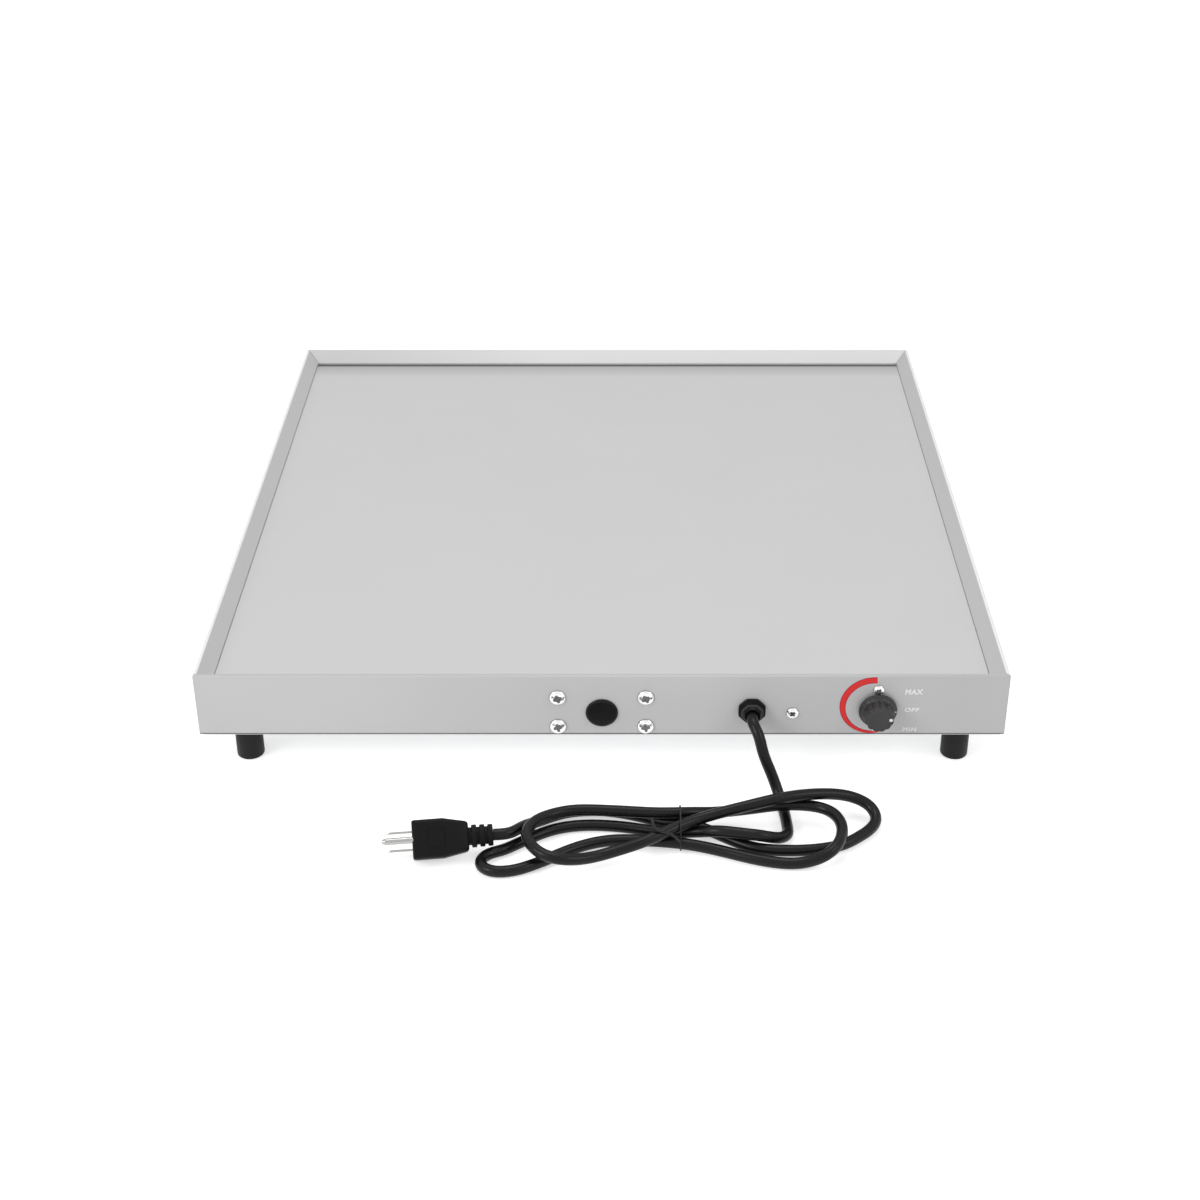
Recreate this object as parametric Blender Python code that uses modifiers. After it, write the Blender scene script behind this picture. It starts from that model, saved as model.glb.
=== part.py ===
"""Warming shelf: a heated steel tray on four short feet, with a control panel in front.

X runs to the viewer's right, Y from the front to the back, and Z up.
The origin is on the surface that the shelf stands on, under the middle of the shelf.
All lengths are in metres.
"""

import math

import bmesh
import bpy
import numpy as np
from mathutils import Matrix, Vector

# Overall sizes of the shelf
WIDTH = 0.6096
DEPTH = 0.6096
BODY_HEIGHT = 0.055
FOOT_HEIGHT = 0.028

# Clearances shared by pieces that touch, and the distance at which points are one
CONTACT = 0.0003
OVERRUN = 0.002
MERGE_DISTANCE = 0.00001

# Folded panels round the body
SHEET = 0.0012
FOLD_RADIUS = 0.0009
FOLD_STEPS = 2
RIM_FLAT = 0.0015
RIM_SLOPE = 0.0096
LEDGE_WIDTH = 0.014
FLANGE_WIDTH = 0.030
MITRE_GAP = 0.0003

# Heated plate in the well
PLATE_THICKNESS = 0.0015
PLATE_DROP = 0.0105
PLATE_SIDE_GAP = 0.0004
PLATE_BACK_GAP = 0.0024

# Bottom cover
COVER_THICKNESS = 0.0012
COVER_INSET = 0.0025
VENT_LENGTH = 0.060
VENT_WIDTH = 0.004
VENT_PITCH = 0.012
VENT_COUNT = 5

# Feet and what bolts them on
FOOT_RADIUS = 0.0105
FOOT_EDGE = 0.0015
FOOT_FROM_SIDE = 0.033
FOOT_FROM_FACE = 0.019
FOOT_BORE_DEPTH = 0.012
FOOT_BORE_RADIUS = 0.0062
FOOT_SCREW_RADIUS = 0.0025
FOOT_SCREW_HEAD_RADIUS = 0.0050
FOOT_SCREW_HEAD = 0.0030
FOOT_NUT_ACROSS = 0.0080
FOOT_NUT_THICKNESS = 0.0040
THREAD_STAND = 0.0010

# Tubular heating element under the plate
ELEMENT_RADIUS = 0.004
ELEMENT_RUNS = 6
ELEMENT_SIDE_MARGIN = 0.0948
ELEMENT_BACK_MARGIN = 0.055
ELEMENT_FRONT_MARGIN = 0.078
ELEMENT_END_FROM_FACE = 0.080
ELEMENT_BEND_STEPS = 8
CLAMP_SHEET = 0.0010
CLAMP_FOOT = 0.010
CLAMP_WIDTH = 0.012

# Insulation under the element
BLANKET_HEIGHT = 0.030
BLANKET_SIDE_MARGIN = 0.034
BLANKET_FRONT_MARGIN = 0.100
BLANKET_EDGE = 0.006

# Heights of the fittings on the front panel, above its lower edge
PLUG_HEIGHT = 0.0203
UPPER_SCREW_HEIGHT = 0.0337
LOWER_SCREW_HEIGHT = 0.0078
GLAND_HEIGHT = 0.0228
GROUND_HEIGHT = 0.0200
KNOB_HEIGHT = 0.0238

# Places of the fittings along the front panel, from its middle or from its right end
PLUG_X = 0.0
SCREW_X = 0.0331
GLAND_FROM_SIDE = 0.1919
GROUND_FROM_SIDE = 0.1612
KNOB_FROM_SIDE = 0.0975

# Blank plug in the knock-out hole
PLUG_RADIUS = 0.0122
PLUG_DOME = 0.0016
PLUG_NECK_RADIUS = 0.0107
PLUG_NECK_DEPTH = 0.0060

# Panel screws, ground screw and thermostat screws
PANEL_HEAD_RADIUS = 0.0064
PANEL_HEAD_HEIGHT = 0.0024
PANEL_SHANK_RADIUS = 0.0020
PANEL_SHANK_LENGTH = 0.0075
GROUND_HEAD_RADIUS = 0.0048
GROUND_HEAD_HEIGHT = 0.0022
GROUND_SHANK_RADIUS = 0.0020
GROUND_SHANK_LENGTH = 0.0105
GROUND_NUT_ACROSS = 0.0070
GROUND_NUT_THICKNESS = 0.0032
DIAL_HEAD_RADIUS = 0.0043
DIAL_HEAD_HEIGHT = 0.0018
DIAL_SHANK_RADIUS = 0.0018
DIAL_SHANK_LENGTH = 0.0062
DIAL_SCREW_SPREAD = 0.0330
RECESS_WIDTH = 0.0012
RECESS_DEPTH = 0.0012
RECESS_REACH_SHARE = 0.55
HEAD_PROFILE_SHARES = ((0.0, 1.0), (0.55, 0.93), (0.88, 0.62), (1.0, 0.22))
PANEL_SCREW_NAMES = (
    "panel_screw_upper_left",
    "panel_screw_lower_left",
    "panel_screw_upper_right",
    "panel_screw_lower_right",
)
DIAL_SCREW_NAMES = ("thermostat_screw_upper", "thermostat_screw_lower")

# Control knob and shaft
KNOB_RUNNING_GAP = 0.0006
SKIRT_RADIUS = 0.0145
SKIRT_THICKNESS = 0.0024
SKIRT_EDGE = 0.0005
GRIP_RADIUS = 0.0110
GRIP_HEIGHT = 0.0110
GRIP_TOP_RADIUS = 0.0102
GRIP_EDGE = 0.0009
FLUTE_COUNT = 20
FLUTE_DEPTH = 0.0006
FLUTE_STEPS = 4
SHAFT_RADIUS = 0.0030
SHAFT_IN_KNOB = 0.0100
SHAFT_IN_BODY = 0.0110
SHAFT_HOLE_GAP = 0.0008
DOT_RADIUS = 0.0013
DOT_FROM_AXIS = 0.0084
DOT_DEPTH = 0.0008
DOT_PROUD = 0.0002

# Thermostat behind the panel
BRACKET_SHEET = 0.0012
THERMOSTAT_BRACKET_WIDTH = 0.026
THERMOSTAT_BRACKET_HEIGHT = 0.040
THERMOSTAT_WIDTH = 0.044
THERMOSTAT_HEIGHT = 0.032
THERMOSTAT_DEPTH = 0.028
THERMOSTAT_EDGE = 0.0015

# Sensing bulb under the plate and its capillary
BULB_RADIUS = 0.003
BULB_LENGTH = 0.090
BULB_FROM_FACE = 0.190
BULB_EDGE = 0.0010
CAPILLARY_RADIUS = 0.0008

# Terminal bracket and block behind the four panel screws
TERMINAL_BRACKET_WIDTH = 0.084
TERMINAL_BRACKET_HEIGHT = 0.037
TERMINAL_BLOCK_WIDTH = 0.048
TERMINAL_BLOCK_DEPTH = 0.018
TERMINAL_BLOCK_HEIGHT = 0.016
TERMINAL_COUNT = 4
TERMINAL_SLOT = 0.0060
TERMINAL_SLOT_DEPTH = 0.0050

# High-limit switch beside the terminal block
LIMIT_X = -0.110
LIMIT_FROM_FACE = 0.064
LIMIT_RADIUS = 0.009
LIMIT_HEIGHT = 0.010
LIMIT_CAP_RADIUS = 0.006
LIMIT_CAP_HEIGHT = 0.004

# Strain relief in the front panel
GLAND_RADIUS = 0.0102
GLAND_SIDES = 8
GLAND_FLANGE = 0.0030
GLAND_NOSE_RADIUS = 0.0078
GLAND_NOSE = 0.0060
GLAND_NECK_RADIUS = 0.0080
GLAND_NUT_RADIUS = 0.0110
GLAND_NUT = 0.0045
GLAND_TAIL = 0.0050

# Cord, plug and tie
CORD_RADIUS = 0.00425
CORD_SLACK = 0.0003
CORD_TAIL = 0.030
HANK_LOBES = 5
LOBE_POINTS = 24
LEAD_POINTS = 16
WIRE_RADIUS = 0.0014
WIRE_REACHES = (0.020, 0.040, 0.030, 0.045, 0.035)
TIE_RADIUS = 0.0006
TIE_GAP = 0.0006
TIE_STEPS = 28
PLUG_BODY_WIDTH = 0.028
PLUG_BODY_THICKNESS = 0.020
PLUG_BODY_LENGTH = 0.040
PLUG_BODY_ROUND = 0.004
PLUG_TAPER_START_SHARE = 0.55
PLUG_BACK_WIDTH = 0.021
PLUG_BACK_THICKNESS = 0.0165
PLUG_ROLL = math.radians(49.0)
PLUG_YAW = math.radians(7.0)
RELIEF_RADIUS = 0.0082
RELIEF_GROOVE = 0.0016
RELIEF_RIB = 0.0036
RELIEF_GAP = 0.0022
RELIEF_RIBS = 3
BLADE_LENGTH = 0.0185
BLADE_WIDTH = 0.0063
BLADE_THICKNESS = 0.0015
BLADE_SPREAD = 0.0127
BLADE_ROOT = 0.008
GROUND_PIN_RADIUS = 0.0024
GROUND_PIN_LENGTH = 0.0215
GROUND_PIN_OFFSET = 0.0119
BLADES_FROM_MIDDLE = 0.0045

# Heights and places that follow from the sizes above
GLAND_X = WIDTH / 2 - GLAND_FROM_SIDE
GROUND_X = WIDTH / 2 - GROUND_FROM_SIDE
KNOB_X = WIDTH / 2 - KNOB_FROM_SIDE
ELEMENT_PITCH = (WIDTH - 2 * ELEMENT_SIDE_MARGIN) / (ELEMENT_RUNS - 1)
BULB_X = ELEMENT_PITCH * (ELEMENT_RUNS - 2) / 2
KNOB_GAP = DIAL_HEAD_HEIGHT + KNOB_RUNNING_GAP
FRONT_REACH = KNOB_GAP + SKIRT_THICKNESS + GRIP_HEIGHT
FACE_Y = FRONT_REACH / 2 - DEPTH / 2
BACK_Y = FACE_Y + DEPTH
TOP_Z = FOOT_HEIGHT + BODY_HEIGHT
COVER_TOP = FOOT_HEIGHT + COVER_THICKNESS
PANEL_FOOT = COVER_TOP + CONTACT
FLANGE_TOP = PANEL_FOOT + SHEET
PLATE_TOP = TOP_Z - PLATE_DROP
PLATE_FOOT = PLATE_TOP - PLATE_THICKNESS
LEDGE_MIDDLE = PLATE_FOOT - CONTACT - SHEET / 2
WELL_WALL = RIM_FLAT + RIM_SLOPE + SHEET
ELEMENT_Z = PLATE_FOOT - CONTACT - ELEMENT_RADIUS
KNOB_Z = PANEL_FOOT + KNOB_HEIGHT
PANEL_BACK = FACE_Y + SHEET
MIDDLE_Y = FACE_Y + DEPTH / 2
THERMOSTAT_FRONT_DEPTH = SHEET + CONTACT + BRACKET_SHEET + CONTACT
THERMOSTAT_BACK = FACE_Y + THERMOSTAT_FRONT_DEPTH + THERMOSTAT_DEPTH
DIAL_TIP = FACE_Y + DIAL_SHANK_LENGTH
SHELF_START = PANEL_SHANK_LENGTH + CONTACT

# Route of the cord as it lies in front: from the strain relief, the front face and the floor
LEAD_ROUTE = (
    (0.0037, -0.0260, 0.0465),
    (0.0073, -0.0325, 0.0350),
    (0.0136, -0.0380, 0.0200),
    (0.0185, -0.0455, 0.0085),
    (0.0211, -0.0570, 0.0046),
)
HANK_ROUTE = (
    (0.0228, -0.0852, 0.0044),
    (0.0214, -0.0919, 0.0051),
    (0.0169, -0.0971, 0.0067),
    (0.0089, -0.1018, 0.0107),
    (0.0015, -0.1036, 0.0135),
    (-0.0071, -0.1030, 0.0143),
    (-0.0256, -0.0995, 0.0141),
    (-0.0334, -0.0969, 0.0122),
    (-0.0419, -0.0930, 0.0088),
    (-0.0555, -0.0903, 0.0063),
    (-0.0736, -0.0875, 0.0052),
    (-0.0933, -0.0823, 0.0044),
    (-0.1218, -0.0795, 0.0044),
    (-0.1465, -0.0844, 0.0044),
    (-0.1629, -0.0940, 0.0044),
    (-0.1741, -0.1022, 0.0044),
    (-0.1831, -0.1084, 0.0044),
    (-0.1908, -0.1120, 0.0044),
    (-0.1962, -0.1169, 0.0044),
    (-0.1980, -0.1229, 0.0044),
    (-0.1956, -0.1286, 0.0044),
    (-0.1900, -0.1323, 0.0044),
    (-0.1825, -0.1332, 0.0044),
    (-0.1727, -0.1312, 0.0044),
    (-0.1616, -0.1259, 0.0044),
    (-0.1455, -0.1156, 0.0044),
    (-0.1279, -0.1047, 0.0044),
    (-0.1063, -0.0977, 0.0044),
    (-0.0810, -0.0987, 0.0052),
    (-0.0559, -0.1033, 0.0063),
    (-0.0372, -0.1066, 0.0050),
    (-0.0202, -0.1122, 0.0044),
    (-0.0006, -0.1196, 0.0044),
    (0.0219, -0.1240, 0.0044),
    (0.0374, -0.1241, 0.0070),
    (0.0480, -0.1220, 0.0112),
    (0.0557, -0.1146, 0.0139),
    (0.0601, -0.1018, 0.0144),
    (0.0600, -0.0881, 0.0143),
    (0.0546, -0.0762, 0.0139),
    (0.0432, -0.0691, 0.0136),
    (0.0212, -0.0681, 0.0142),
    (-0.0024, -0.0710, 0.0132),
    (-0.0295, -0.0724, 0.0108),
    (-0.0414, -0.0756, 0.0130),
    (-0.0554, -0.0795, 0.0157),
    (-0.0736, -0.0784, 0.0148),
    (-0.0932, -0.0756, 0.0139),
    (-0.1137, -0.0739, 0.0138),
    (-0.1342, -0.0742, 0.0138),
    (-0.1515, -0.0819, 0.0150),
    (-0.1612, -0.0927, 0.0169),
    (-0.1657, -0.1054, 0.0176),
    (-0.1622, -0.1191, 0.0174),
    (-0.1534, -0.1284, 0.0162),
    (-0.1399, -0.1313, 0.0140),
    (-0.1203, -0.1245, 0.0100),
    (-0.0990, -0.1166, 0.0110),
    (-0.0812, -0.1112, 0.0144),
    (-0.0558, -0.0959, 0.0164),
    (-0.0338, -0.0858, 0.0180),
    (-0.0083, -0.0804, 0.0220),
    (0.0171, -0.0736, 0.0242),
    (0.0385, -0.0670, 0.0229),
    (0.0583, -0.0609, 0.0187),
    (0.0720, -0.0590, 0.0145),
    (0.0822, -0.0623, 0.0110),
    (0.0870, -0.0679, 0.0081),
    (0.0877, -0.0757, 0.0060),
    (0.0823, -0.0853, 0.0049),
    (0.0727, -0.0941, 0.0044),
    (0.0610, -0.1023, 0.0044),
    (0.0410, -0.1081, 0.0044),
    (0.0194, -0.1093, 0.0044),
    (0.0087, -0.1085, 0.0044),
    (-0.0012, -0.1064, 0.0044),
    (-0.0111, -0.1018, 0.0044),
    (-0.0209, -0.0953, 0.0044),
    (-0.0321, -0.0875, 0.0045),
    (-0.0436, -0.0814, 0.0050),
    (-0.0552, -0.0791, 0.0061),
    (-0.0654, -0.0770, 0.0053),
    (-0.0771, -0.0724, 0.0047),
    (-0.0932, -0.0660, 0.0044),
    (-0.1050, -0.0629, 0.0044),
    (-0.1139, -0.0617, 0.0044),
    (-0.1331, -0.0629, 0.0044),
    (-0.1484, -0.0690, 0.0046),
    (-0.1598, -0.0772, 0.0058),
    (-0.1678, -0.0870, 0.0100),
    (-0.1727, -0.0962, 0.0136),
    (-0.1765, -0.1015, 0.0151),
    (-0.1812, -0.1044, 0.0158),
)
TIE_FROM_GLAND = -0.0555


def clear_scene():
    """Remove whatever the scene holds."""
    for obj in list(bpy.data.objects):
        bpy.data.objects.remove(obj, do_unlink=True)


def new_collection(name):
    """Make a collection in the scene."""
    collection = bpy.data.collections.new(name)
    bpy.context.scene.collection.children.link(collection)
    return collection


def new_material(name, colour, roughness, metallic=0.0):
    """Make a Principled material."""
    material = bpy.data.materials.new(name)
    material.use_nodes = True
    shader = material.node_tree.nodes["Principled BSDF"]
    shader.inputs["Base Color"].default_value = (*colour, 1.0)
    shader.inputs["Roughness"].default_value = roughness
    shader.inputs["Metallic"].default_value = metallic
    return material


def finish_object(obj, finish):
    """Give an object its own copy of a finish and put it in the shelf's collection."""
    material = finish.copy()
    material.name = obj.name + "_finish"
    obj.data.materials.clear()
    obj.data.materials.append(material)
    SHELF.objects.link(obj)
    return obj


def object_from_bmesh(name, bm, finish=None, location=(0, 0, 0), rotation=(0, 0, 0), smooth=True):
    """Turn a bmesh into an object; without a finish it is a hidden cutter."""
    bmesh.ops.recalc_face_normals(bm, faces=bm.faces)
    mesh = bpy.data.meshes.new(name)
    bm.to_mesh(mesh)
    bm.free()
    obj = bpy.data.objects.new(name, mesh)
    obj.location = location
    obj.rotation_euler = rotation
    if finish is None:
        obj.hide_render = True
        obj.display_type = "WIRE"
        CUTTERS.objects.link(obj)
        return obj
    if smooth:
        mesh.shade_smooth()
        mesh.set_sharp_from_angle(angle=math.radians(35))
    return finish_object(obj, finish)


def box_bmesh(size):
    """A box of the given size round the origin."""
    bm = bmesh.new()
    bmesh.ops.create_cube(bm, size=1)
    bmesh.ops.scale(bm, vec=size, verts=bm.verts)
    return bm


def box(name, size, location, finish=None, edge=0.0, rotation=(0, 0, 0)):
    """A box, with its edges rounded by one small bevel where an edge size is given."""
    obj = object_from_bmesh(name, box_bmesh(size), finish, location, rotation, smooth=False)
    if edge:
        bevel = obj.modifiers.new("rounded edges", "BEVEL")
        bevel.width = edge
        bevel.segments = 2
    return obj


def along_y(radius, front, back, x, z, sides=24):
    """Matrix and sizes of a cylinder that runs along Y, with one of its flats on top."""
    place = Matrix.Translation((x, (front + back) / 2, z)) @ Matrix.Rotation(math.pi / 2, 4, "X")
    place = place @ Matrix.Rotation(math.pi / sides, 4, "Z")
    return {"radius": radius, "depth": back - front, "matrix": place, "sides": sides}


def along_z(radius, foot, top, x, y, sides=24):
    """Matrix and sizes of a cylinder that runs along Z from foot to top."""
    place = Matrix.Translation((x, y, (foot + top) / 2))
    return {"radius": radius, "depth": top - foot, "matrix": place, "sides": sides}


def cylinders(name, rods, finish=None):
    """One object that holds one cylinder for each rod."""
    bm = bmesh.new()
    for rod in rods:
        bmesh.ops.create_cone(
            bm,
            cap_ends=True,
            segments=rod["sides"],
            radius1=rod["radius"],
            radius2=rod["radius"],
            depth=rod["depth"],
            matrix=rod["matrix"],
        )
    return object_from_bmesh(name, bm, finish)


def turned(name, profile, location, finish, axis="Z", steps=24):
    """Turn a profile of (radius, height) points, listed down its outer side, round its axis."""
    mesh = bpy.data.meshes.new(name)
    points = [(radius, 0, height) for radius, height in profile]
    closed = profile[0][0] > 0 or profile[-1][0] > 0
    edges = [(i, i + 1) for i in range(len(points) - 1)]
    if closed:
        edges.append((len(points) - 1, 0))
    mesh.from_pydata(points, edges, [])
    obj = bpy.data.objects.new(name, mesh)
    obj.location = location
    if axis == "Y":
        obj.rotation_euler = (math.pi / 2, 0, 0)
    if axis == "X":
        obj.rotation_euler = (0, math.pi / 2, 0)
    screw = obj.modifiers.new("turning", "SCREW")
    screw.axis = "Z"
    screw.angle = math.tau
    screw.steps = steps
    screw.render_steps = steps
    screw.use_merge_vertices = True
    screw.merge_threshold = MERGE_DISTANCE
    screw.use_smooth_shade = True
    return finish_object(obj, finish)


def tube(name, points, radius, finish, resolution=2, cyclic=False):
    """A round tube along points, with its ends closed."""
    curve = bpy.data.curves.new(name, "CURVE")
    curve.dimensions = "3D"
    curve.bevel_depth = radius
    curve.bevel_resolution = resolution
    curve.use_fill_caps = not cyclic
    spline = curve.splines.new("POLY")
    spline.points.add(len(points) - 1)
    for spline_point, place in zip(spline.points, points):
        spline_point.co = (*place, 1)
    spline.use_cyclic_u = cyclic
    spline.use_smooth = True
    return finish_object(bpy.data.objects.new(name, curve), finish)


def flat_outline(name, outlines, thickness, finish, matrix):
    """A plate of the given thickness from closed outlines; the later ones are holes in it."""
    curve = bpy.data.curves.new(name, "CURVE")
    curve.dimensions = "2D"
    curve.fill_mode = "BOTH"
    curve.extrude = thickness / 2
    for outline in outlines:
        spline = curve.splines.new("POLY")
        spline.points.add(len(outline) - 1)
        for spline_point, (x, y) in zip(spline.points, outline):
            spline_point.co = (x, y, 0, 1)
        spline.use_cyclic_u = True
    obj = bpy.data.objects.new(name, curve)
    obj.matrix_world = matrix
    return finish_object(obj, finish)


def to_mesh(obj):
    """Replace a curve object by a mesh object of the same name, shape and place."""
    name = obj.name
    bpy.context.view_layer.update()
    graph = bpy.context.evaluated_depsgraph_get()
    mesh = bpy.data.meshes.new_from_object(obj.evaluated_get(graph))
    bm = bmesh.new()
    bm.from_mesh(mesh)
    bmesh.ops.remove_doubles(bm, verts=bm.verts, dist=MERGE_DISTANCE)
    bm.to_mesh(mesh)
    bm.free()
    matrix = obj.matrix_world.copy()
    bpy.data.objects.remove(obj, do_unlink=True)
    solid = bpy.data.objects.new(name, mesh)
    solid.matrix_world = matrix
    SHELF.objects.link(solid)
    return solid


def combine(obj, operand, operation="DIFFERENCE"):
    """Cut an object by a cutter, or join the two."""
    modifier = obj.modifiers.new(operation.lower() + " " + operand.name, "BOOLEAN")
    modifier.operation = operation
    modifier.object = operand
    return obj


def circle(radius, sides, turn=0.0):
    """Points of a circle."""
    angles = [turn + math.tau * i / sides for i in range(sides)]
    return [(radius * math.cos(a), radius * math.sin(a)) for a in angles]


def rounded_rectangle(width, height, radius, steps=3):
    """Points of a rectangle with round corners."""
    points = []
    for corner in range(4):
        across = (1, -1, -1, 1)[corner]
        up = (1, 1, -1, -1)[corner]
        for step in range(steps + 1):
            angle = math.pi / 2 * (corner + step / steps)
            x = across * (width / 2 - radius) + radius * math.cos(angle)
            y = up * (height / 2 - radius) + radius * math.sin(angle)
            points.append((x, y))
    return points


def lofted(name, sections, finish=None, location=(0, 0, 0), rotation=(0, 0, 0)):
    """A solid through sections, each a list of points and a height along local Z."""
    bm = bmesh.new()
    rings = [[bm.verts.new((x, y, height)) for x, y in points] for points, height in sections]
    for lower, upper in zip(rings, rings[1:]):
        for i in range(len(lower)):
            j = (i + 1) % len(lower)
            bm.faces.new((lower[i], lower[j], upper[j], upper[i]))
    bm.faces.new(list(reversed(rings[0])))
    bm.faces.new(rings[-1])
    return object_from_bmesh(name, bm, finish, location, rotation)


def folded_outline(path, thickness, radius, steps):
    """Closed outline of a folded sheet from its middle line, with each fold rounded."""
    middle = [Vector(path[0])]
    for before, corner, after in zip(path, path[1:], path[2:]):
        corner = Vector(corner)
        arriving = (corner - Vector(before)).normalized()
        leaving = (Vector(after) - corner).normalized()
        turn = arriving.angle_signed(leaving)
        reach = radius * math.tan(abs(turn) / 2)
        start = corner - arriving * reach
        side = Vector((arriving.y, -arriving.x)) * math.copysign(radius, turn)
        centre = start + side
        for step in range(steps + 1):
            swing = Matrix.Rotation(-turn * step / steps, 2)
            middle.append(centre - swing @ side)
    middle.append(Vector(path[-1]))
    left = []
    right = []
    for i, point in enumerate(middle):
        before = (point - middle[i - 1]).normalized() if i else None
        after = (middle[i + 1] - point).normalized() if i + 1 < len(middle) else None
        before = before or after
        after = after or before
        along = (before + after).normalized()
        half = thickness / 2 / along.dot(before)
        normal = Vector((-along.y, along.x)) * half
        left.append(tuple(point + normal))
        right.append(tuple(point - normal))
    return left + right[::-1]


def smooth_route(route, count):
    """Evenly spaced points on a natural cubic through a route's points."""
    knots = np.array(route)
    steps = np.sqrt(np.linalg.norm(np.diff(knots, axis=0), axis=1))
    at = np.concatenate([[0], np.cumsum(steps)])
    size = len(knots)
    matrix = np.eye(size)
    target = np.zeros_like(knots)
    for i in range(1, size - 1):
        matrix[i, i - 1] = steps[i - 1]
        matrix[i, i] = 2 * (steps[i - 1] + steps[i])
        matrix[i, i + 1] = steps[i]
        rise = (knots[i + 1] - knots[i]) / steps[i]
        target[i] = 6 * (rise - (knots[i] - knots[i - 1]) / steps[i - 1])
    bend = np.linalg.solve(matrix, target)
    fine = np.linspace(0, at[-1], 40 * size)
    span = np.clip(np.searchsorted(at, fine, side="right") - 1, 0, size - 2)
    length = steps[span][:, None]
    ahead = (at[span + 1] - fine)[:, None]
    past = (fine - at[span])[:, None]
    curve = (bend[span] * ahead**3 + bend[span + 1] * past**3) / (6 * length)
    curve += (knots[span] / length - bend[span] * length / 6) * ahead
    curve += (knots[span + 1] / length - bend[span + 1] * length / 6) * past
    run = np.concatenate([[0], np.cumsum(np.linalg.norm(np.diff(curve, axis=0), axis=1))])
    even = np.linspace(0, run[-1], count)
    return np.column_stack([np.interp(even, run, curve[:, axis]) for axis in range(3)])


def least_gap(points, radius):
    """Least gap of a tube to itself, measured between points that aren't close along it."""
    points = np.array(points)
    run = np.concatenate([[0], np.cumsum(np.linalg.norm(np.diff(points, axis=0), axis=1))])
    apart = np.linalg.norm(points[:, None] - points[None], axis=2)
    far = np.abs(run[:, None] - run[None]) > 6 * radius
    return float(apart[far].min() - 2 * radius)


def folded_panel(name, length, reach, turn, finish):
    """A folded side of the body, mitred at both ends; reach is from the body's middle."""
    path = (
        (FLANGE_WIDTH, PANEL_FOOT + SHEET / 2),
        (SHEET / 2, PANEL_FOOT + SHEET / 2),
        (SHEET / 2, TOP_Z - SHEET / 2),
        (SHEET / 2 + RIM_FLAT, TOP_Z - SHEET / 2),
        (SHEET / 2 + RIM_FLAT + RIM_SLOPE, TOP_Z - SHEET / 2 - RIM_SLOPE),
        (SHEET / 2 + RIM_FLAT + RIM_SLOPE, LEDGE_MIDDLE),
        (WELL_WALL + LEDGE_WIDTH, LEDGE_MIDDLE),
    )
    outline = folded_outline(path, SHEET, FOLD_RADIUS, FOLD_STEPS)
    inward_up_along = Matrix(((0, 0, 1, 0), (1, 0, 0, 0), (0, 1, 0, 0), (0, 0, 0, 1)))
    place = Matrix.Translation((0, MIDDLE_Y, 0)) @ Matrix.Rotation(turn, 4, "Z")
    place = place @ Matrix.Translation((0, -reach, 0)) @ inward_up_along
    panel = to_mesh(flat_outline(name, [outline], length, finish, place))
    bm = bmesh.new()
    bm.from_mesh(panel.data)
    for end in (-1, 1):
        normal = Vector((1, 0, end)).normalized()
        corner = Vector((0, 0, end * length / 2)) - normal * MITRE_GAP / 2
        everything = bm.verts[:] + bm.edges[:] + bm.faces[:]
        cut = bmesh.ops.bisect_plane(
            bm, geom=everything, plane_co=corner, plane_no=normal, clear_outer=True
        )
        rim = [item for item in cut["geom_cut"] if isinstance(item, bmesh.types.BMEdge)]
        bmesh.ops.contextual_create(bm, geom=rim)
    bmesh.ops.recalc_face_normals(bm, faces=bm.faces)
    bm.to_mesh(panel.data)
    bm.free()
    return panel


def foot_places():
    """Name and place of each foot's middle."""
    for side, x in (("left", -1), ("right", 1)):
        for end, y in (("front", FACE_Y + FOOT_FROM_FACE), ("rear", BACK_Y - FOOT_FROM_FACE)):
            yield f"{end}_{side}", x * (WIDTH / 2 - FOOT_FROM_SIDE), y


def foot_screw_holes(name, ends):
    """Cutter for the foot screws' holes at the named ends of the body."""
    hole = FOOT_SCREW_RADIUS + CONTACT
    rods = []
    for place, x, y in foot_places():
        if place.split("_")[0] in ends:
            rods.append(along_z(hole, FOOT_HEIGHT - OVERRUN, FLANGE_TOP + OVERRUN, x, y))
    return cylinders(name, rods)


def front_holes():
    """Cutter for every hole in the front panel's face."""
    screw = PANEL_SHANK_RADIUS + CONTACT
    ground = GROUND_SHANK_RADIUS + CONTACT
    dial = DIAL_SHANK_RADIUS + CONTACT
    holes = [(PLUG_NECK_RADIUS + CONTACT, PLUG_X, PANEL_FOOT + PLUG_HEIGHT)]
    holes.append((GLAND_NECK_RADIUS + CONTACT, GLAND_X, PANEL_FOOT + GLAND_HEIGHT))
    holes.append((ground, GROUND_X, PANEL_FOOT + GROUND_HEIGHT))
    holes.append((SHAFT_RADIUS + SHAFT_HOLE_GAP, KNOB_X, KNOB_Z))
    for x, z in panel_screw_places():
        holes.append((screw, x, z))
    for z in dial_screw_heights():
        holes.append((dial, KNOB_X, z))
    front = FACE_Y - OVERRUN
    return [along_y(radius, front, PANEL_BACK + OVERRUN, x, z) for radius, x, z in holes]


def panel_screw_places():
    """Places of the four large screws, along and up the front panel."""
    for x in (-SCREW_X, SCREW_X):
        for height in (UPPER_SCREW_HEIGHT, LOWER_SCREW_HEIGHT):
            yield x, PANEL_FOOT + height


def dial_screw_heights():
    """Heights of the two screws above and below the knob."""
    return KNOB_Z + DIAL_SCREW_SPREAD / 2, KNOB_Z - DIAL_SCREW_SPREAD / 2


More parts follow.
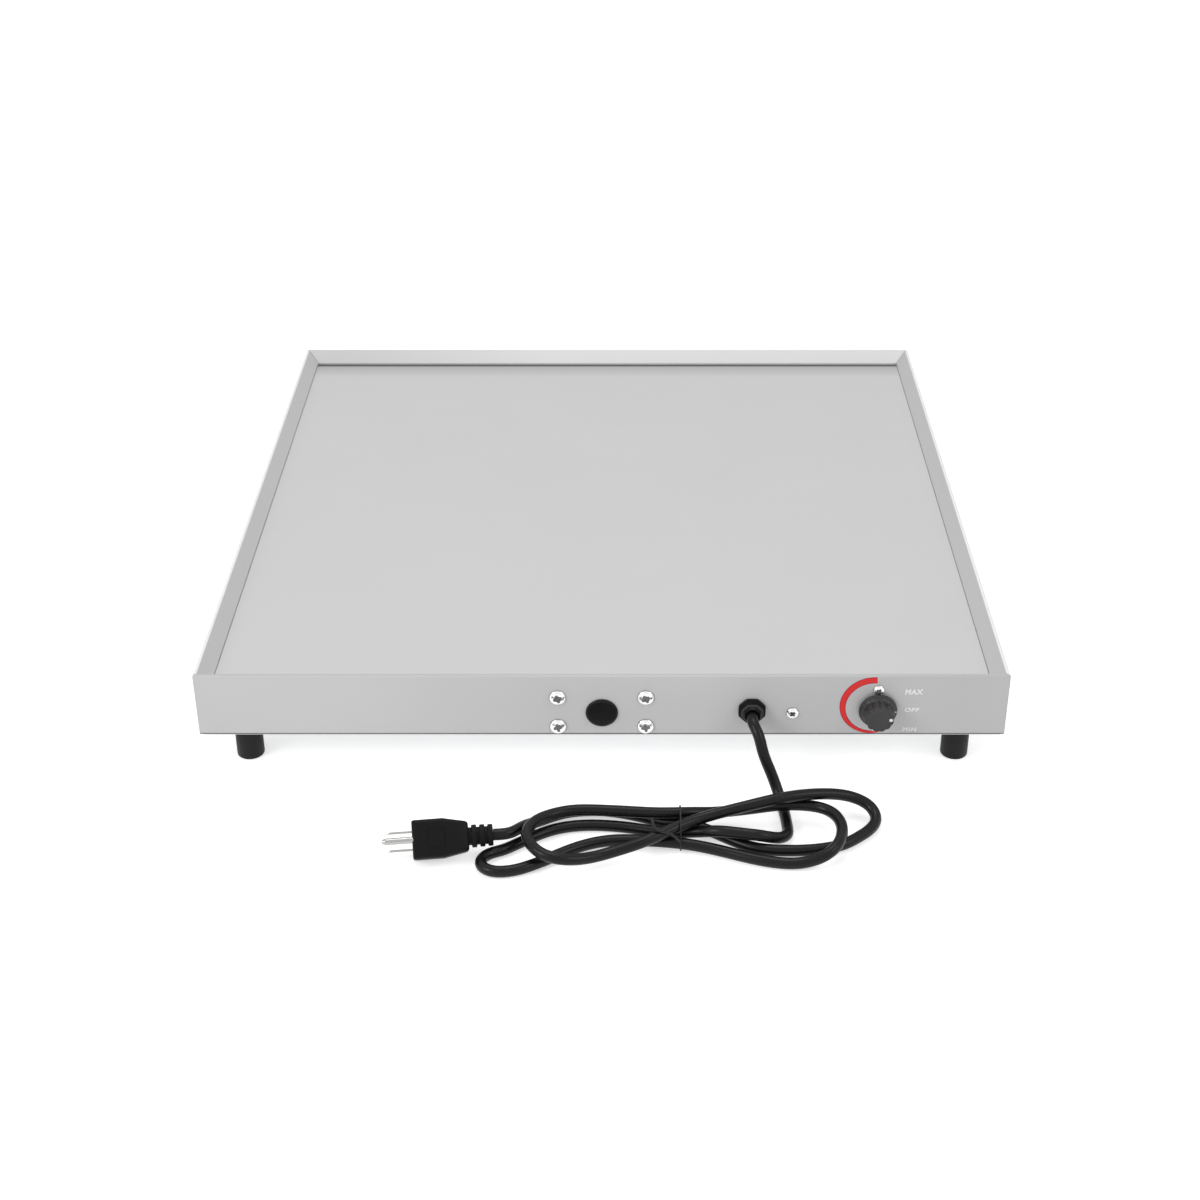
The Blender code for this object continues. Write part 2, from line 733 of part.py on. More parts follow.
def body_panels():
    """The four folded sides of the body."""
    front = folded_panel("front_panel", WIDTH, DEPTH / 2, 0, STEEL)
    combine(front, cylinders("front_face_holes", front_holes()))
    combine(front, foot_screw_holes("front_flange_holes", ("front",)))
    rear = folded_panel("rear_panel", WIDTH, DEPTH / 2, math.pi, STEEL)
    combine(rear, foot_screw_holes("rear_flange_holes", ("rear",)))
    folded_panel("right_side_panel", DEPTH, WIDTH / 2, math.pi / 2, STEEL)
    folded_panel("left_side_panel", DEPTH, WIDTH / 2, -math.pi / 2, STEEL)


def heated_plate():
    """The flat plate that lies on the ledge round the well."""
    width = WIDTH - 2 * (WELL_WALL + PLATE_SIDE_GAP)
    front = FACE_Y + WELL_WALL + PLATE_SIDE_GAP
    back = BACK_Y - WELL_WALL - PLATE_BACK_GAP
    place = (0, (front + back) / 2, PLATE_TOP - PLATE_THICKNESS / 2)
    box("heated_plate", (width, back - front, PLATE_THICKNESS), place, PLATE)


def bottom_cover():
    """The flat sheet that closes the underside, with a row of vents under the thermostat."""
    size = (WIDTH - 2 * COVER_INSET, DEPTH - 2 * COVER_INSET, COVER_THICKNESS)
    cover = box("bottom_cover", size, (0, MIDDLE_Y, FOOT_HEIGHT + COVER_THICKNESS / 2), STEEL)
    combine(cover, foot_screw_holes("cover_holes", ("front", "rear")))
    bm = bmesh.new()
    for i in range(VENT_COUNT):
        y = FACE_Y + FLANGE_WIDTH + VENT_PITCH * (i + 1)
        slot = Matrix.Translation((KNOB_X - VENT_LENGTH / 2, y, FOOT_HEIGHT))
        size = Matrix.Diagonal((VENT_LENGTH, VENT_WIDTH, 2 * COVER_THICKNESS + OVERRUN, 1))
        bmesh.ops.create_cube(bm, size=1, matrix=slot @ size)
    combine(cover, object_from_bmesh("vent_slots", bm))


def feet():
    """Four feet, each with the screw and nut that hold it."""
    top = FOOT_HEIGHT - CONTACT
    bore = FOOT_SCREW_RADIUS + CONTACT
    foot = (
        (bore, top),
        (FOOT_RADIUS, top),
        (FOOT_RADIUS, FOOT_EDGE),
        (FOOT_RADIUS - FOOT_EDGE, 0),
        (FOOT_BORE_RADIUS, 0),
        (FOOT_BORE_RADIUS, FOOT_BORE_DEPTH),
        (bore, FOOT_BORE_DEPTH),
    )
    head_top = FOOT_BORE_DEPTH - CONTACT
    nut_foot = FLANGE_TOP + CONTACT
    tip = nut_foot + FOOT_NUT_THICKNESS + THREAD_STAND
    screw = (
        (0, tip),
        (FOOT_SCREW_RADIUS, tip),
        (FOOT_SCREW_RADIUS, head_top),
        (FOOT_SCREW_HEAD_RADIUS, head_top),
        (FOOT_SCREW_HEAD_RADIUS, head_top - FOOT_SCREW_HEAD / 2),
        (FOOT_SCREW_HEAD_RADIUS / 2, head_top - FOOT_SCREW_HEAD),
        (0, head_top - FOOT_SCREW_HEAD),
    )
    for place, x, y in foot_places():
        turned("foot_" + place, foot, (x, y, 0), BLACK_RUBBER)
        turned("foot_screw_" + place, screw, (x, y, 0), ZINC, steps=16)
        hexagon_nut(
            "foot_nut_" + place,
            FOOT_NUT_ACROSS,
            bore,
            FOOT_NUT_THICKNESS,
            Matrix.Translation((x, y, nut_foot + FOOT_NUT_THICKNESS / 2)),
        )


def hexagon_nut(name, across, bore, thickness, matrix, finish=None):
    """A hexagon nut, whose width is across its flats."""
    outline = circle(across / 2 / math.cos(math.pi / 6), 6)
    return flat_outline(name, [outline, circle(bore, 20)], thickness, finish or ZINC, matrix)


def strap(name, radius, x, y, finish):
    """A strap that holds a tube of the given radius up to the plate."""
    inner = radius + CONTACT + CLAMP_SHEET / 2
    foot = PLATE_FOOT - CONTACT - CLAMP_SHEET / 2
    low = PLATE_FOOT - CONTACT - 2 * radius - CONTACT - CLAMP_SHEET / 2
    path = ((-inner - CLAMP_FOOT, foot), (-inner, foot), (-inner, low))
    path = path + tuple((-across, height) for across, height in reversed(path))
    outline = folded_outline(path, CLAMP_SHEET, CLAMP_SHEET, FOLD_STEPS)
    place = Matrix.Translation((x, y, 0)) @ Matrix.Rotation(math.pi / 2, 4, "X")
    return flat_outline(name, [outline], CLAMP_WIDTH, finish, place)


def element_path():
    """Middle line of the element: parallel runs joined by half circles."""
    bend = ELEMENT_PITCH / 2
    near = FACE_Y + ELEMENT_FRONT_MARGIN + bend
    far = BACK_Y - ELEMENT_BACK_MARGIN - bend
    end = FACE_Y + ELEMENT_END_FROM_FACE
    first = -ELEMENT_PITCH * (ELEMENT_RUNS - 1) / 2
    points = [(first, end, ELEMENT_Z)]
    for run in range(ELEMENT_RUNS - 1):
        middle = first + ELEMENT_PITCH * run + bend
        away = 1 if run % 2 == 0 else -1
        turn_y = far if away > 0 else near
        for step in range(ELEMENT_BEND_STEPS + 1):
            angle = math.pi * step / ELEMENT_BEND_STEPS
            x = middle - bend * math.cos(angle)
            points.append((x, turn_y + away * bend * math.sin(angle), ELEMENT_Z))
    points.append((-first, end, ELEMENT_Z))
    return points


def heating():
    """The element, its straps, the insulation, and the bulb that senses the plate."""
    tube("heating_element", element_path(), ELEMENT_RADIUS, ELEMENT_STEEL)
    run = ELEMENT_PITCH * (ELEMENT_RUNS - 1) / 2 - ELEMENT_PITCH
    strap("element_clamp_left", ELEMENT_RADIUS, -run, MIDDLE_Y, ZINC)
    strap("element_clamp_right", ELEMENT_RADIUS, run, MIDDLE_Y, ZINC)
    strap("element_clamp_middle", ELEMENT_RADIUS, run - ELEMENT_PITCH, MIDDLE_Y, ZINC)
    front = FACE_Y + BLANKET_FRONT_MARGIN
    back = BACK_Y - BLANKET_SIDE_MARGIN
    size = (WIDTH - 2 * BLANKET_SIDE_MARGIN, back - front, BLANKET_HEIGHT)
    place = (0, (front + back) / 2, COVER_TOP + CONTACT + BLANKET_HEIGHT / 2)
    box("insulation_blanket", size, place, WOOL, BLANKET_EDGE)
    bulb_z = PLATE_FOOT - CONTACT - BULB_RADIUS
    bulb = (
        (0, BULB_LENGTH / 2),
        (BULB_RADIUS - BULB_EDGE, BULB_LENGTH / 2),
        (BULB_RADIUS, BULB_LENGTH / 2 - BULB_EDGE),
        (BULB_RADIUS, BULB_EDGE - BULB_LENGTH / 2),
        (BULB_RADIUS - BULB_EDGE, -BULB_LENGTH / 2),
        (0, -BULB_LENGTH / 2),
    )
    bulb_y = FACE_Y + BULB_FROM_FACE + BULB_LENGTH / 2
    turned("sensor_bulb", bulb, (BULB_X, bulb_y, bulb_z), COPPER, axis="Y", steps=16)
    strap("bulb_clip", BULB_RADIUS, BULB_X, bulb_y, ZINC)
    start_z = KNOB_Z + THERMOSTAT_HEIGHT / 4
    start = (KNOB_X - THERMOSTAT_WIDTH / 4, THERMOSTAT_BACK + CONTACT, start_z)
    end = (BULB_X, bulb_y - BULB_LENGTH / 2 - CONTACT, bulb_z)
    path = bridge(start, (0, 1, 0), end, (0, -1, 0), BULB_LENGTH / 2, CAPILLARY_RADIUS)
    tube("capillary_tube", path, CAPILLARY_RADIUS, COPPER)


def bridge(start, leaving, end, leaving_end, reach, radius, count=14):
    """Points on a bend between two ends, which it leaves straight in the given directions."""
    start, leaving, end, leaving_end = (Vector(v) for v in (start, leaving, end, leaving_end))
    near = start + leaving * 2 * radius
    far = end + leaving_end * 2 * radius
    handles = (near, near + leaving * reach, far + leaving_end * reach, far)
    points = [start]
    for i in range(count):
        t = i / (count - 1)
        weights = ((1 - t) ** 3, 3 * t * (1 - t) ** 2, 3 * t * t * (1 - t), t**3)
        points.append(sum((h * w for h, w in zip(handles, weights)), Vector((0, 0, 0))))
    points.append(end)
    return points


def panel_screw(name, sizes, x, z):
    """A pan-head screw through the front panel, with a cross recess in its head."""
    head_radius, head_height, shank_radius, length = sizes
    profile = [(across * head_radius, up * head_height) for across, up in HEAD_PROFILE_SHARES]
    profile += [(head_radius, CONTACT), (shank_radius, CONTACT)]
    profile += [(shank_radius, -length), (0, -length)]
    screw = turned(name, profile, (x, FACE_Y, z), NICKEL, axis="Y", steps=16)
    reach = 2 * head_radius * RECESS_REACH_SHARE
    front = (x, FACE_Y - head_height, z)
    for label, across, up in (("_slot", reach, RECESS_WIDTH), ("_cross", RECESS_WIDTH, reach)):
        bm = box_bmesh((across, 2 * RECESS_DEPTH, up))
        combine(screw, object_from_bmesh(name + label, bm, location=front))


def front_fittings():
    """What shows on the front panel beside the knob: screws, blank plug and strain relief."""
    large = (PANEL_HEAD_RADIUS, PANEL_HEAD_HEIGHT, PANEL_SHANK_RADIUS, PANEL_SHANK_LENGTH)
    for name, (x, z) in zip(PANEL_SCREW_NAMES, panel_screw_places()):
        panel_screw(name, large, x, z)
    ground = (GROUND_HEAD_RADIUS, GROUND_HEAD_HEIGHT, GROUND_SHANK_RADIUS, GROUND_SHANK_LENGTH)
    ground_z = PANEL_FOOT + GROUND_HEIGHT
    panel_screw("ground_screw", ground, GROUND_X, ground_z)
    nut_y = PANEL_BACK + CONTACT + GROUND_NUT_THICKNESS / 2
    place = Matrix.Translation((GROUND_X, nut_y, ground_z)) @ Matrix.Rotation(math.pi / 2, 4, "X")
    bore = GROUND_SHANK_RADIUS + CONTACT
    hexagon_nut("ground_nut", GROUND_NUT_ACROSS, bore, GROUND_NUT_THICKNESS, place)
    dial = (DIAL_HEAD_RADIUS, DIAL_HEAD_HEIGHT, DIAL_SHANK_RADIUS, DIAL_SHANK_LENGTH)
    for name, z in zip(DIAL_SCREW_NAMES, dial_screw_heights()):
        panel_screw(name, dial, KNOB_X, z)

    blank = (
        (0, PLUG_DOME + CONTACT),
        (PLUG_RADIUS - PLUG_DOME, PLUG_DOME + CONTACT),
        (PLUG_RADIUS, CONTACT + PLUG_DOME / 2),
        (PLUG_RADIUS, CONTACT),
        (PLUG_NECK_RADIUS, CONTACT),
        (PLUG_NECK_RADIUS, -PLUG_NECK_DEPTH),
        (0, -PLUG_NECK_DEPTH),
    )
    place = (PLUG_X, FACE_Y, PANEL_FOOT + PLUG_HEIGHT)
    turned("hole_plug", blank, place, BLACK_PLASTIC, axis="Y")

    gland_z = PANEL_FOOT + GLAND_HEIGHT
    tail = SHEET + CONTACT + GLAND_NUT + GLAND_TAIL
    relief = (
        (0, GLAND_FLANGE + GLAND_NOSE),
        (GLAND_NOSE_RADIUS, GLAND_FLANGE + GLAND_NOSE),
        (GLAND_RADIUS, GLAND_FLANGE),
        (GLAND_RADIUS, CONTACT),
        (GLAND_NECK_RADIUS, CONTACT),
        (GLAND_NECK_RADIUS, -tail),
        (0, -tail),
    )
    place = (GLAND_X, FACE_Y, gland_z)
    turned("strain_relief", relief, place, BLACK_PLASTIC, axis="Y", steps=GLAND_SIDES)
    nut_y = PANEL_BACK + CONTACT + GLAND_NUT / 2
    place = Matrix.Translation((GLAND_X, nut_y, gland_z)) @ Matrix.Rotation(math.pi / 2, 4, "X")
    hexagon_nut(
        "strain_relief_nut",
        2 * GLAND_NUT_RADIUS,
        GLAND_NECK_RADIUS + 2 * CONTACT,
        GLAND_NUT,
        place,
        BLACK_PLASTIC,
    )


def knob_rings():
    """Sections of the knob from its back to its face, with flutes round the grip."""
    count = FLUTE_COUNT * FLUTE_STEPS
    skirt = circle(SKIRT_RADIUS, count)
    skirt_edge = circle(SKIRT_RADIUS - SKIRT_EDGE, count)

    def fluted(radius, depth):
        points = []
        for i, (x, y) in enumerate(circle(1, count)):
            hollow = depth * (1 - math.cos(math.tau * i / FLUTE_STEPS)) / 2
            points.append((x * (radius - hollow), y * (radius - hollow)))
        return points

    top = SKIRT_THICKNESS + GRIP_HEIGHT
    return (
        (skirt, 0),
        (skirt, SKIRT_THICKNESS - SKIRT_EDGE),
        (skirt_edge, SKIRT_THICKNESS),
        (fluted(GRIP_RADIUS, FLUTE_DEPTH), SKIRT_THICKNESS),
        (fluted(GRIP_TOP_RADIUS, FLUTE_DEPTH), top - GRIP_EDGE),
        (circle(GRIP_TOP_RADIUS - FLUTE_DEPTH - GRIP_EDGE, count), top),
    )


def knob():
    """The knob, its pointer and the shaft it turns, on an empty on the axis of turning."""
    axis = bpy.data.objects.new("knob_axis", None)
    axis.location = (KNOB_X, FACE_Y - KNOB_GAP, KNOB_Z)
    axis.rotation_euler = (math.pi / 2, 0, 0)
    SHELF.objects.link(axis)
    top = SKIRT_THICKNESS + GRIP_HEIGHT
    grip = lofted("control_knob", knob_rings(), BLACK_PLASTIC)
    bore_top = SHAFT_IN_KNOB + CONTACT
    pocket_foot = top - DOT_DEPTH
    bore = along_z(SHAFT_RADIUS + CONTACT, -OVERRUN, bore_top, 0, 0)
    pocket = along_z(DOT_RADIUS + CONTACT, pocket_foot, top + OVERRUN, DOT_FROM_AXIS, 0, 20)
    cutter = cylinders("knob_bore_and_pocket", [bore, pocket])
    cutter.parent = axis
    combine(grip, cutter)
    dot = along_z(DOT_RADIUS, pocket_foot + CONTACT, top + DOT_PROUD, DOT_FROM_AXIS, 0, 20)
    pointer = cylinders("knob_pointer", [dot], WHITE_PLASTIC)
    shaft_foot = -KNOB_GAP - THERMOSTAT_FRONT_DEPTH - SHAFT_IN_BODY
    rod = along_z(SHAFT_RADIUS, shaft_foot, SHAFT_IN_KNOB, 0, 0)
    shaft = cylinders("thermostat_shaft", [rod], ZINC)
    for piece in (grip, pointer, shaft):
        piece.parent = axis


def thermostat():
    """The thermostat and the bracket that its two screws pull against the panel."""
    bracket_y = PANEL_BACK + CONTACT + BRACKET_SHEET / 2
    size = (THERMOSTAT_BRACKET_WIDTH, BRACKET_SHEET, THERMOSTAT_BRACKET_HEIGHT)
    bracket = box("thermostat_bracket", size, (KNOB_X, bracket_y, KNOB_Z), ZINC)
    front = PANEL_BACK
    back = PANEL_BACK + CONTACT + BRACKET_SHEET + OVERRUN
    dial = DIAL_SHANK_RADIUS + CONTACT
    rods = [along_y(dial, front, back, KNOB_X, z, 20) for z in dial_screw_heights()]
    rods.append(along_y(SHAFT_RADIUS + SHAFT_HOLE_GAP, front, back, KNOB_X, KNOB_Z))
    combine(bracket, cylinders("thermostat_bracket_holes", rods))
    body_front = FACE_Y + THERMOSTAT_FRONT_DEPTH
    place = (KNOB_X, body_front + THERMOSTAT_DEPTH / 2, KNOB_Z)
    size = (THERMOSTAT_WIDTH, THERMOSTAT_DEPTH, THERMOSTAT_HEIGHT)
    body = box("thermostat_body", size, place, DARK_PLASTIC, THERMOSTAT_EDGE)
    bore_back = body_front + SHAFT_IN_BODY + CONTACT
    bore = along_y(SHAFT_RADIUS + CONTACT, body_front - OVERRUN, bore_back, KNOB_X, KNOB_Z)
    rods = [bore]
    for z in dial_screw_heights():
        rods.append(along_y(dial, body_front - OVERRUN, DIAL_TIP + CONTACT, KNOB_X, z, 20))
    combine(body, cylinders("thermostat_body_holes", rods))


def terminals():
    """The bracket behind the four large screws, the terminal block on it and the limit switch."""
    middle_z = PANEL_FOOT + (UPPER_SCREW_HEIGHT + LOWER_SCREW_HEIGHT) / 2
    upright = PANEL_BACK - FACE_Y + CONTACT + BRACKET_SHEET / 2
    low = middle_z - TERMINAL_BRACKET_HEIGHT / 2 + BRACKET_SHEET / 2
    shelf_end = SHELF_START + TERMINAL_BLOCK_DEPTH
    path = (
        (upright, middle_z + TERMINAL_BRACKET_HEIGHT / 2),
        (upright, low),
        (shelf_end, low),
    )
    outline = folded_outline(path, BRACKET_SHEET, BRACKET_SHEET, FOLD_STEPS)
    inward_up_along = Matrix(((0, 0, 1, 0), (1, 0, 0, 0), (0, 1, 0, 0), (0, 0, 0, 1)))
    place = Matrix.Translation((0, FACE_Y, 0)) @ inward_up_along
    bracket = flat_outline("terminal_bracket", [outline], TERMINAL_BRACKET_WIDTH, ZINC, place)
    bracket = to_mesh(bracket)
    front = PANEL_BACK
    back = PANEL_BACK + CONTACT + BRACKET_SHEET + OVERRUN
    shank = PANEL_SHANK_RADIUS + CONTACT
    rods = [along_y(shank, front, back, x, z, 20) for x, z in panel_screw_places()]
    hole = PLUG_NECK_RADIUS + SHAFT_HOLE_GAP
    rods.append(along_y(hole, front, back, PLUG_X, PANEL_FOOT + PLUG_HEIGHT))
    combine(bracket, cylinders("terminal_bracket_holes", rods))

    block_y = FACE_Y + SHELF_START + TERMINAL_BLOCK_DEPTH / 2
    foot = low + BRACKET_SHEET / 2 + CONTACT
    size = (TERMINAL_BLOCK_WIDTH, TERMINAL_BLOCK_DEPTH, TERMINAL_BLOCK_HEIGHT)
    place = (0, block_y, foot + TERMINAL_BLOCK_HEIGHT / 2)
    block = box("terminal_block", size, place, WHITE_PLASTIC)
    pitch = TERMINAL_BLOCK_WIDTH / TERMINAL_COUNT
    bm = bmesh.new()
    for i in range(TERMINAL_COUNT):
        x = pitch * i + (pitch - TERMINAL_BLOCK_WIDTH) / 2
        slot = Matrix.Translation((x, block_y, foot + TERMINAL_BLOCK_HEIGHT))
        size = Matrix.Diagonal((TERMINAL_SLOT, TERMINAL_SLOT, 2 * TERMINAL_SLOT_DEPTH, 1))
        bmesh.ops.create_cube(bm, size=1, matrix=slot @ size)
    combine(block, object_from_bmesh("terminal_slots", bm))

    top = PLATE_FOOT - CONTACT
    limit = (
        (0, 0),
        (LIMIT_RADIUS, 0),
        (LIMIT_RADIUS, -LIMIT_HEIGHT),
        (LIMIT_CAP_RADIUS, -LIMIT_HEIGHT),
        (LIMIT_CAP_RADIUS, -LIMIT_HEIGHT - LIMIT_CAP_HEIGHT),
        (0, -LIMIT_HEIGHT - LIMIT_CAP_HEIGHT),
    )
    limit_y = FACE_Y + LIMIT_FROM_FACE
    turned("limit_thermostat", limit, (LIMIT_X, limit_y, top), DARK_PLASTIC)


def wiring():
    """The cord's end inside the body and the wires between the electrical pieces."""
    block_back = FACE_Y + SHELF_START + TERMINAL_BLOCK_DEPTH + CONTACT
    block_z = (
        PANEL_FOOT
        + (UPPER_SCREW_HEIGHT + LOWER_SCREW_HEIGHT) / 2
        - TERMINAL_BRACKET_HEIGHT / 2
        + BRACKET_SHEET
        + TERMINAL_BLOCK_HEIGHT / 2
    )
    block_y = FACE_Y + SHELF_START + TERMINAL_BLOCK_DEPTH / 2
    block_end = TERMINAL_BLOCK_WIDTH / 2 + CONTACT
    pitch = TERMINAL_BLOCK_WIDTH / TERMINAL_COUNT
    gland_z = PANEL_FOOT + GLAND_HEIGHT
    tail_y = PANEL_BACK + CONTACT + GLAND_NUT + GLAND_TAIL + CONTACT
    right = (1, 0, 0)
    left = (-1, 0, 0)
    back = (0, 1, 0)
    front = (0, -1, 0)
    start = (GLAND_X, tail_y, gland_z)
    end = (block_end, block_y, block_z)
    tail = bridge(start, back, end, right, CORD_TAIL, CORD_RADIUS)
    tube("cord_tail", tail, CORD_RADIUS, BLACK_RUBBER)

    element_y = FACE_Y + ELEMENT_END_FROM_FACE - CONTACT
    element_x = ELEMENT_PITCH * (ELEMENT_RUNS - 1) / 2
    limit_y = FACE_Y + LIMIT_FROM_FACE
    limit_z = PLATE_FOOT - LIMIT_HEIGHT / 2
    limit_side = LIMIT_RADIUS + CONTACT
    body_back = THERMOSTAT_BACK + CONTACT
    ground_tip = FACE_Y + GROUND_SHANK_LENGTH + CONTACT
    ground_z = PANEL_FOOT + GROUND_HEIGHT
    live_x = KNOB_X + THERMOSTAT_WIDTH / 4
    ends = {
        "wire_element_live": (
            (live_x, body_back, KNOB_Z),
            back,
            (element_x, element_y, ELEMENT_Z),
            front,
        ),
        "wire_element_neutral": (
            (LIMIT_X - limit_side, limit_y, limit_z),
            left,
            (-element_x, element_y, ELEMENT_Z),
            front,
        ),
        "wire_limit": (
            (-block_end, block_y, block_z),
            left,
            (LIMIT_X + limit_side, limit_y, limit_z),
            right,
        ),
        "wire_live": (
            (-pitch / 2, block_back, block_z),
            back,
            (KNOB_X - THERMOSTAT_WIDTH / 4, body_back, KNOB_Z - THERMOSTAT_HEIGHT / 4),
            back,
        ),
        "wire_ground": (
            (pitch, block_back, block_z),
            back,
            (GROUND_X, ground_tip, ground_z),
            back,
        ),
    }
    reaches = dict(zip(ends, WIRE_REACHES))
    finishes = dict(zip(ends, (RED_WIRE, WHITE_WIRE, WHITE_WIRE, RED_WIRE, GREEN_WIRE)))
    for name, (start, leaving, end, leaving_end) in ends.items():
        path = bridge(start, leaving, end, leaving_end, reaches[name], WIRE_RADIUS)
        tube(name, path, WIRE_RADIUS, finishes[name])


def in_front(place):
    """A place in the shelf's frame from one on the cord's route."""
    x, y, z = place
    return (GLAND_X + x, FACE_Y + y, z)


def cord():
    """The cord from the strain relief, its tied hank, and the plug at its end."""
    straight = 2 * CORD_RADIUS
    start = Vector((0, -GLAND_FLANGE - GLAND_NOSE - CORD_SLACK, PANEL_FOOT + GLAND_HEIGHT))
    forward = Vector((0, -straight, 0))
    joint = Vector(HANK_ROUTE[0]) - forward
    meeting = joint - Vector((0, -CORD_SLACK, 0))
    route = (start + forward, *LEAD_ROUTE, meeting - forward)
    lead = [start, *smooth_route(route, LEAD_POINTS), meeting]
    tube("cord_lead", [in_front(p) for p in lead], CORD_RADIUS, BLACK_RUBBER)

    hank = [joint, *smooth_route(HANK_ROUTE, HANK_LOBES * LOBE_POINTS), plug_meeting()]
    tube("cord_hank", [in_front(p) for p in hank], CORD_RADIUS, BLACK_RUBBER, resolution=1)
    print(f"least gap of the hank to itself: {1000 * least_gap(hank, CORD_RADIUS):.2f} mm")
    tube("twist_tie", tie_path(), TIE_RADIUS, BLACK_PLASTIC, resolution=0, cyclic=True)


def plug_meeting():
    """Where the hank's last straight run meets the plug."""
    ahead = Matrix.Rotation(PLUG_YAW, 3, "Z") @ Vector((2 * CORD_RADIUS, 0, 0))
    return Vector(HANK_ROUTE[-1]) - ahead


def tie_path():
    """The tie's middle line, drawn round the strands that cross under it."""
    fine = smooth_route(HANK_ROUTE, 40 * LOBE_POINTS * HANK_LOBES)
    strands = []
    for before, after in zip(fine, fine[1:]):
        if (before[0] - TIE_FROM_GLAND) * (after[0] - TIE_FROM_GLAND) <= 0:
            strands.append(np.array(before[1:]))
    reach = CORD_RADIUS + TIE_GAP + TIE_RADIUS
    points = []
    for i in range(TIE_STEPS):
        angle = math.tau * i / TIE_STEPS
        normal = np.array((math.cos(angle), math.sin(angle)))
        outermost = max(strands, key=lambda strand: float(strand @ normal))
        y, z = outermost + reach * normal
        points.append(in_front((TIE_FROM_GLAND, y, z)))
    return points


def plug():
    """The moulded plug with its ribbed relief, two flat blades and a round ground pin."""
    spread = Vector((0, math.cos(PLUG_ROLL), math.sin(PLUG_ROLL)))
    offset = Vector((0, -math.sin(PLUG_ROLL), math.cos(PLUG_ROLL)))
    rolled = Matrix((spread, offset, (1, 0, 0))).transposed().to_4x4()
    turn = Matrix.Rotation(PLUG_YAW, 4, "Z")
    relief_length = RELIEF_RIBS * (RELIEF_RIB + RELIEF_GAP)
    ahead = turn @ Vector((CORD_SLACK + relief_length + PLUG_BODY_LENGTH, 0, 0))
    place = Matrix.Translation(in_front(plug_meeting() - ahead)) @ turn @ rolled

    wide = (PLUG_BODY_WIDTH, PLUG_BODY_THICKNESS)
    narrow = (PLUG_BACK_WIDTH, PLUG_BACK_THICKNESS)
    shoulder = PLUG_TAPER_START_SHARE * PLUG_BODY_LENGTH
    sections = (
        (rounded_rectangle(*wide, PLUG_BODY_ROUND), 0),
        (rounded_rectangle(*wide, PLUG_BODY_ROUND), shoulder),
        (rounded_rectangle(*narrow, PLUG_BODY_ROUND), PLUG_BODY_LENGTH),
    )
    body = lofted("plug_body", sections, BLACK_PLASTIC)
    body.matrix_world = place
    groove = RELIEF_RADIUS - RELIEF_GROOVE
    profile = [(0, PLUG_BODY_LENGTH - OVERRUN), (groove, PLUG_BODY_LENGTH - OVERRUN)]
    for i in range(RELIEF_RIBS):
        foot = PLUG_BODY_LENGTH + i * (RELIEF_RIB + RELIEF_GAP)
        profile.append((groove, foot + RELIEF_GAP))
        profile.append((RELIEF_RADIUS, foot + RELIEF_GAP))
        profile.append((RELIEF_RADIUS, foot + RELIEF_GAP + RELIEF_RIB))
        profile.append((groove, foot + RELIEF_GAP + RELIEF_RIB))
    profile[-1] = (0, PLUG_BODY_LENGTH + relief_length)
    profile.reverse()
    relief = turned("plug_relief", profile, (0, 0, 0), BLACK_PLASTIC, steps=20)
    relief.matrix_world = place
    SHELF.objects.unlink(relief)
    CUTTERS.objects.link(relief)
    relief.hide_render = True
    relief.display_type = "WIRE"
    combine(body, relief, "UNION")

    bm = bmesh.new()
    reach = BLADE_ROOT + CONTACT
    for side in (-1, 1):
        slot = Matrix.Translation((side * BLADE_SPREAD / 2, -BLADES_FROM_MIDDLE, 0))
        size = (BLADE_THICKNESS + 2 * CONTACT, BLADE_WIDTH + 2 * CONTACT, 2 * reach, 1)
        bmesh.ops.create_cube(bm, size=1, matrix=slot @ Matrix.Diagonal(size))
    slots = object_from_bmesh("blade_slots", bm)
    slots.matrix_world = place
    combine(body, slots)
    pin_y = GROUND_PIN_OFFSET - BLADES_FROM_MIDDLE
    bore = along_z(GROUND_PIN_RADIUS + CONTACT, -reach, reach, 0, pin_y, 20)
    hole = cylinders("ground_pin_hole", [bore])
    hole.matrix_world = place
    combine(body, hole)

    length = BLADE_LENGTH + BLADE_ROOT
    for name, side in (("plug_blade_near", -1), ("plug_blade_far", 1)):
        blade = box(name, (BLADE_THICKNESS, BLADE_WIDTH, length), (0, 0, 0), BRASS)
        middle = (side * BLADE_SPREAD / 2, -BLADES_FROM_MIDDLE, BLADE_ROOT - length / 2)
        blade.matrix_world = place @ Matrix.Translation(middle)
    rod = along_z(GROUND_PIN_RADIUS, -GROUND_PIN_LENGTH, BLADE_ROOT, 0, pin_y, 20)
    pin = cylinders("plug_ground_pin", [rod], BRASS)
    pin.matrix_world = place


clear_scene()
SHELF = new_collection("warming_shelf")
CUTTERS = new_collection("cutters")
STEEL = new_material("steel", (0.62, 0.62, 0.63), 0.35, 1.0)
PLATE = new_material("plate", (0.60, 0.60, 0.60), 0.45, 1.0)
ELEMENT_STEEL = new_material("element_steel", (0.30, 0.30, 0.31), 0.45, 1.0)
ZINC = new_material("zinc", (0.66, 0.67, 0.70), 0.30, 1.0)
NICKEL = new_material("nickel", (0.80, 0.80, 0.82), 0.20, 1.0)
COPPER = new_material("copper", (0.80, 0.45, 0.30), 0.35, 1.0)
BRASS = new_material("brass", (0.80, 0.70, 0.50), 0.25, 1.0)
BLACK_RUBBER = new_material("black_rubber", (0.020, 0.020, 0.020), 0.55)
BLACK_PLASTIC = new_material("black_plastic", (0.025, 0.025, 0.027), 0.40)
DARK_PLASTIC = new_material("dark_plastic", (0.05, 0.05, 0.05), 0.50)
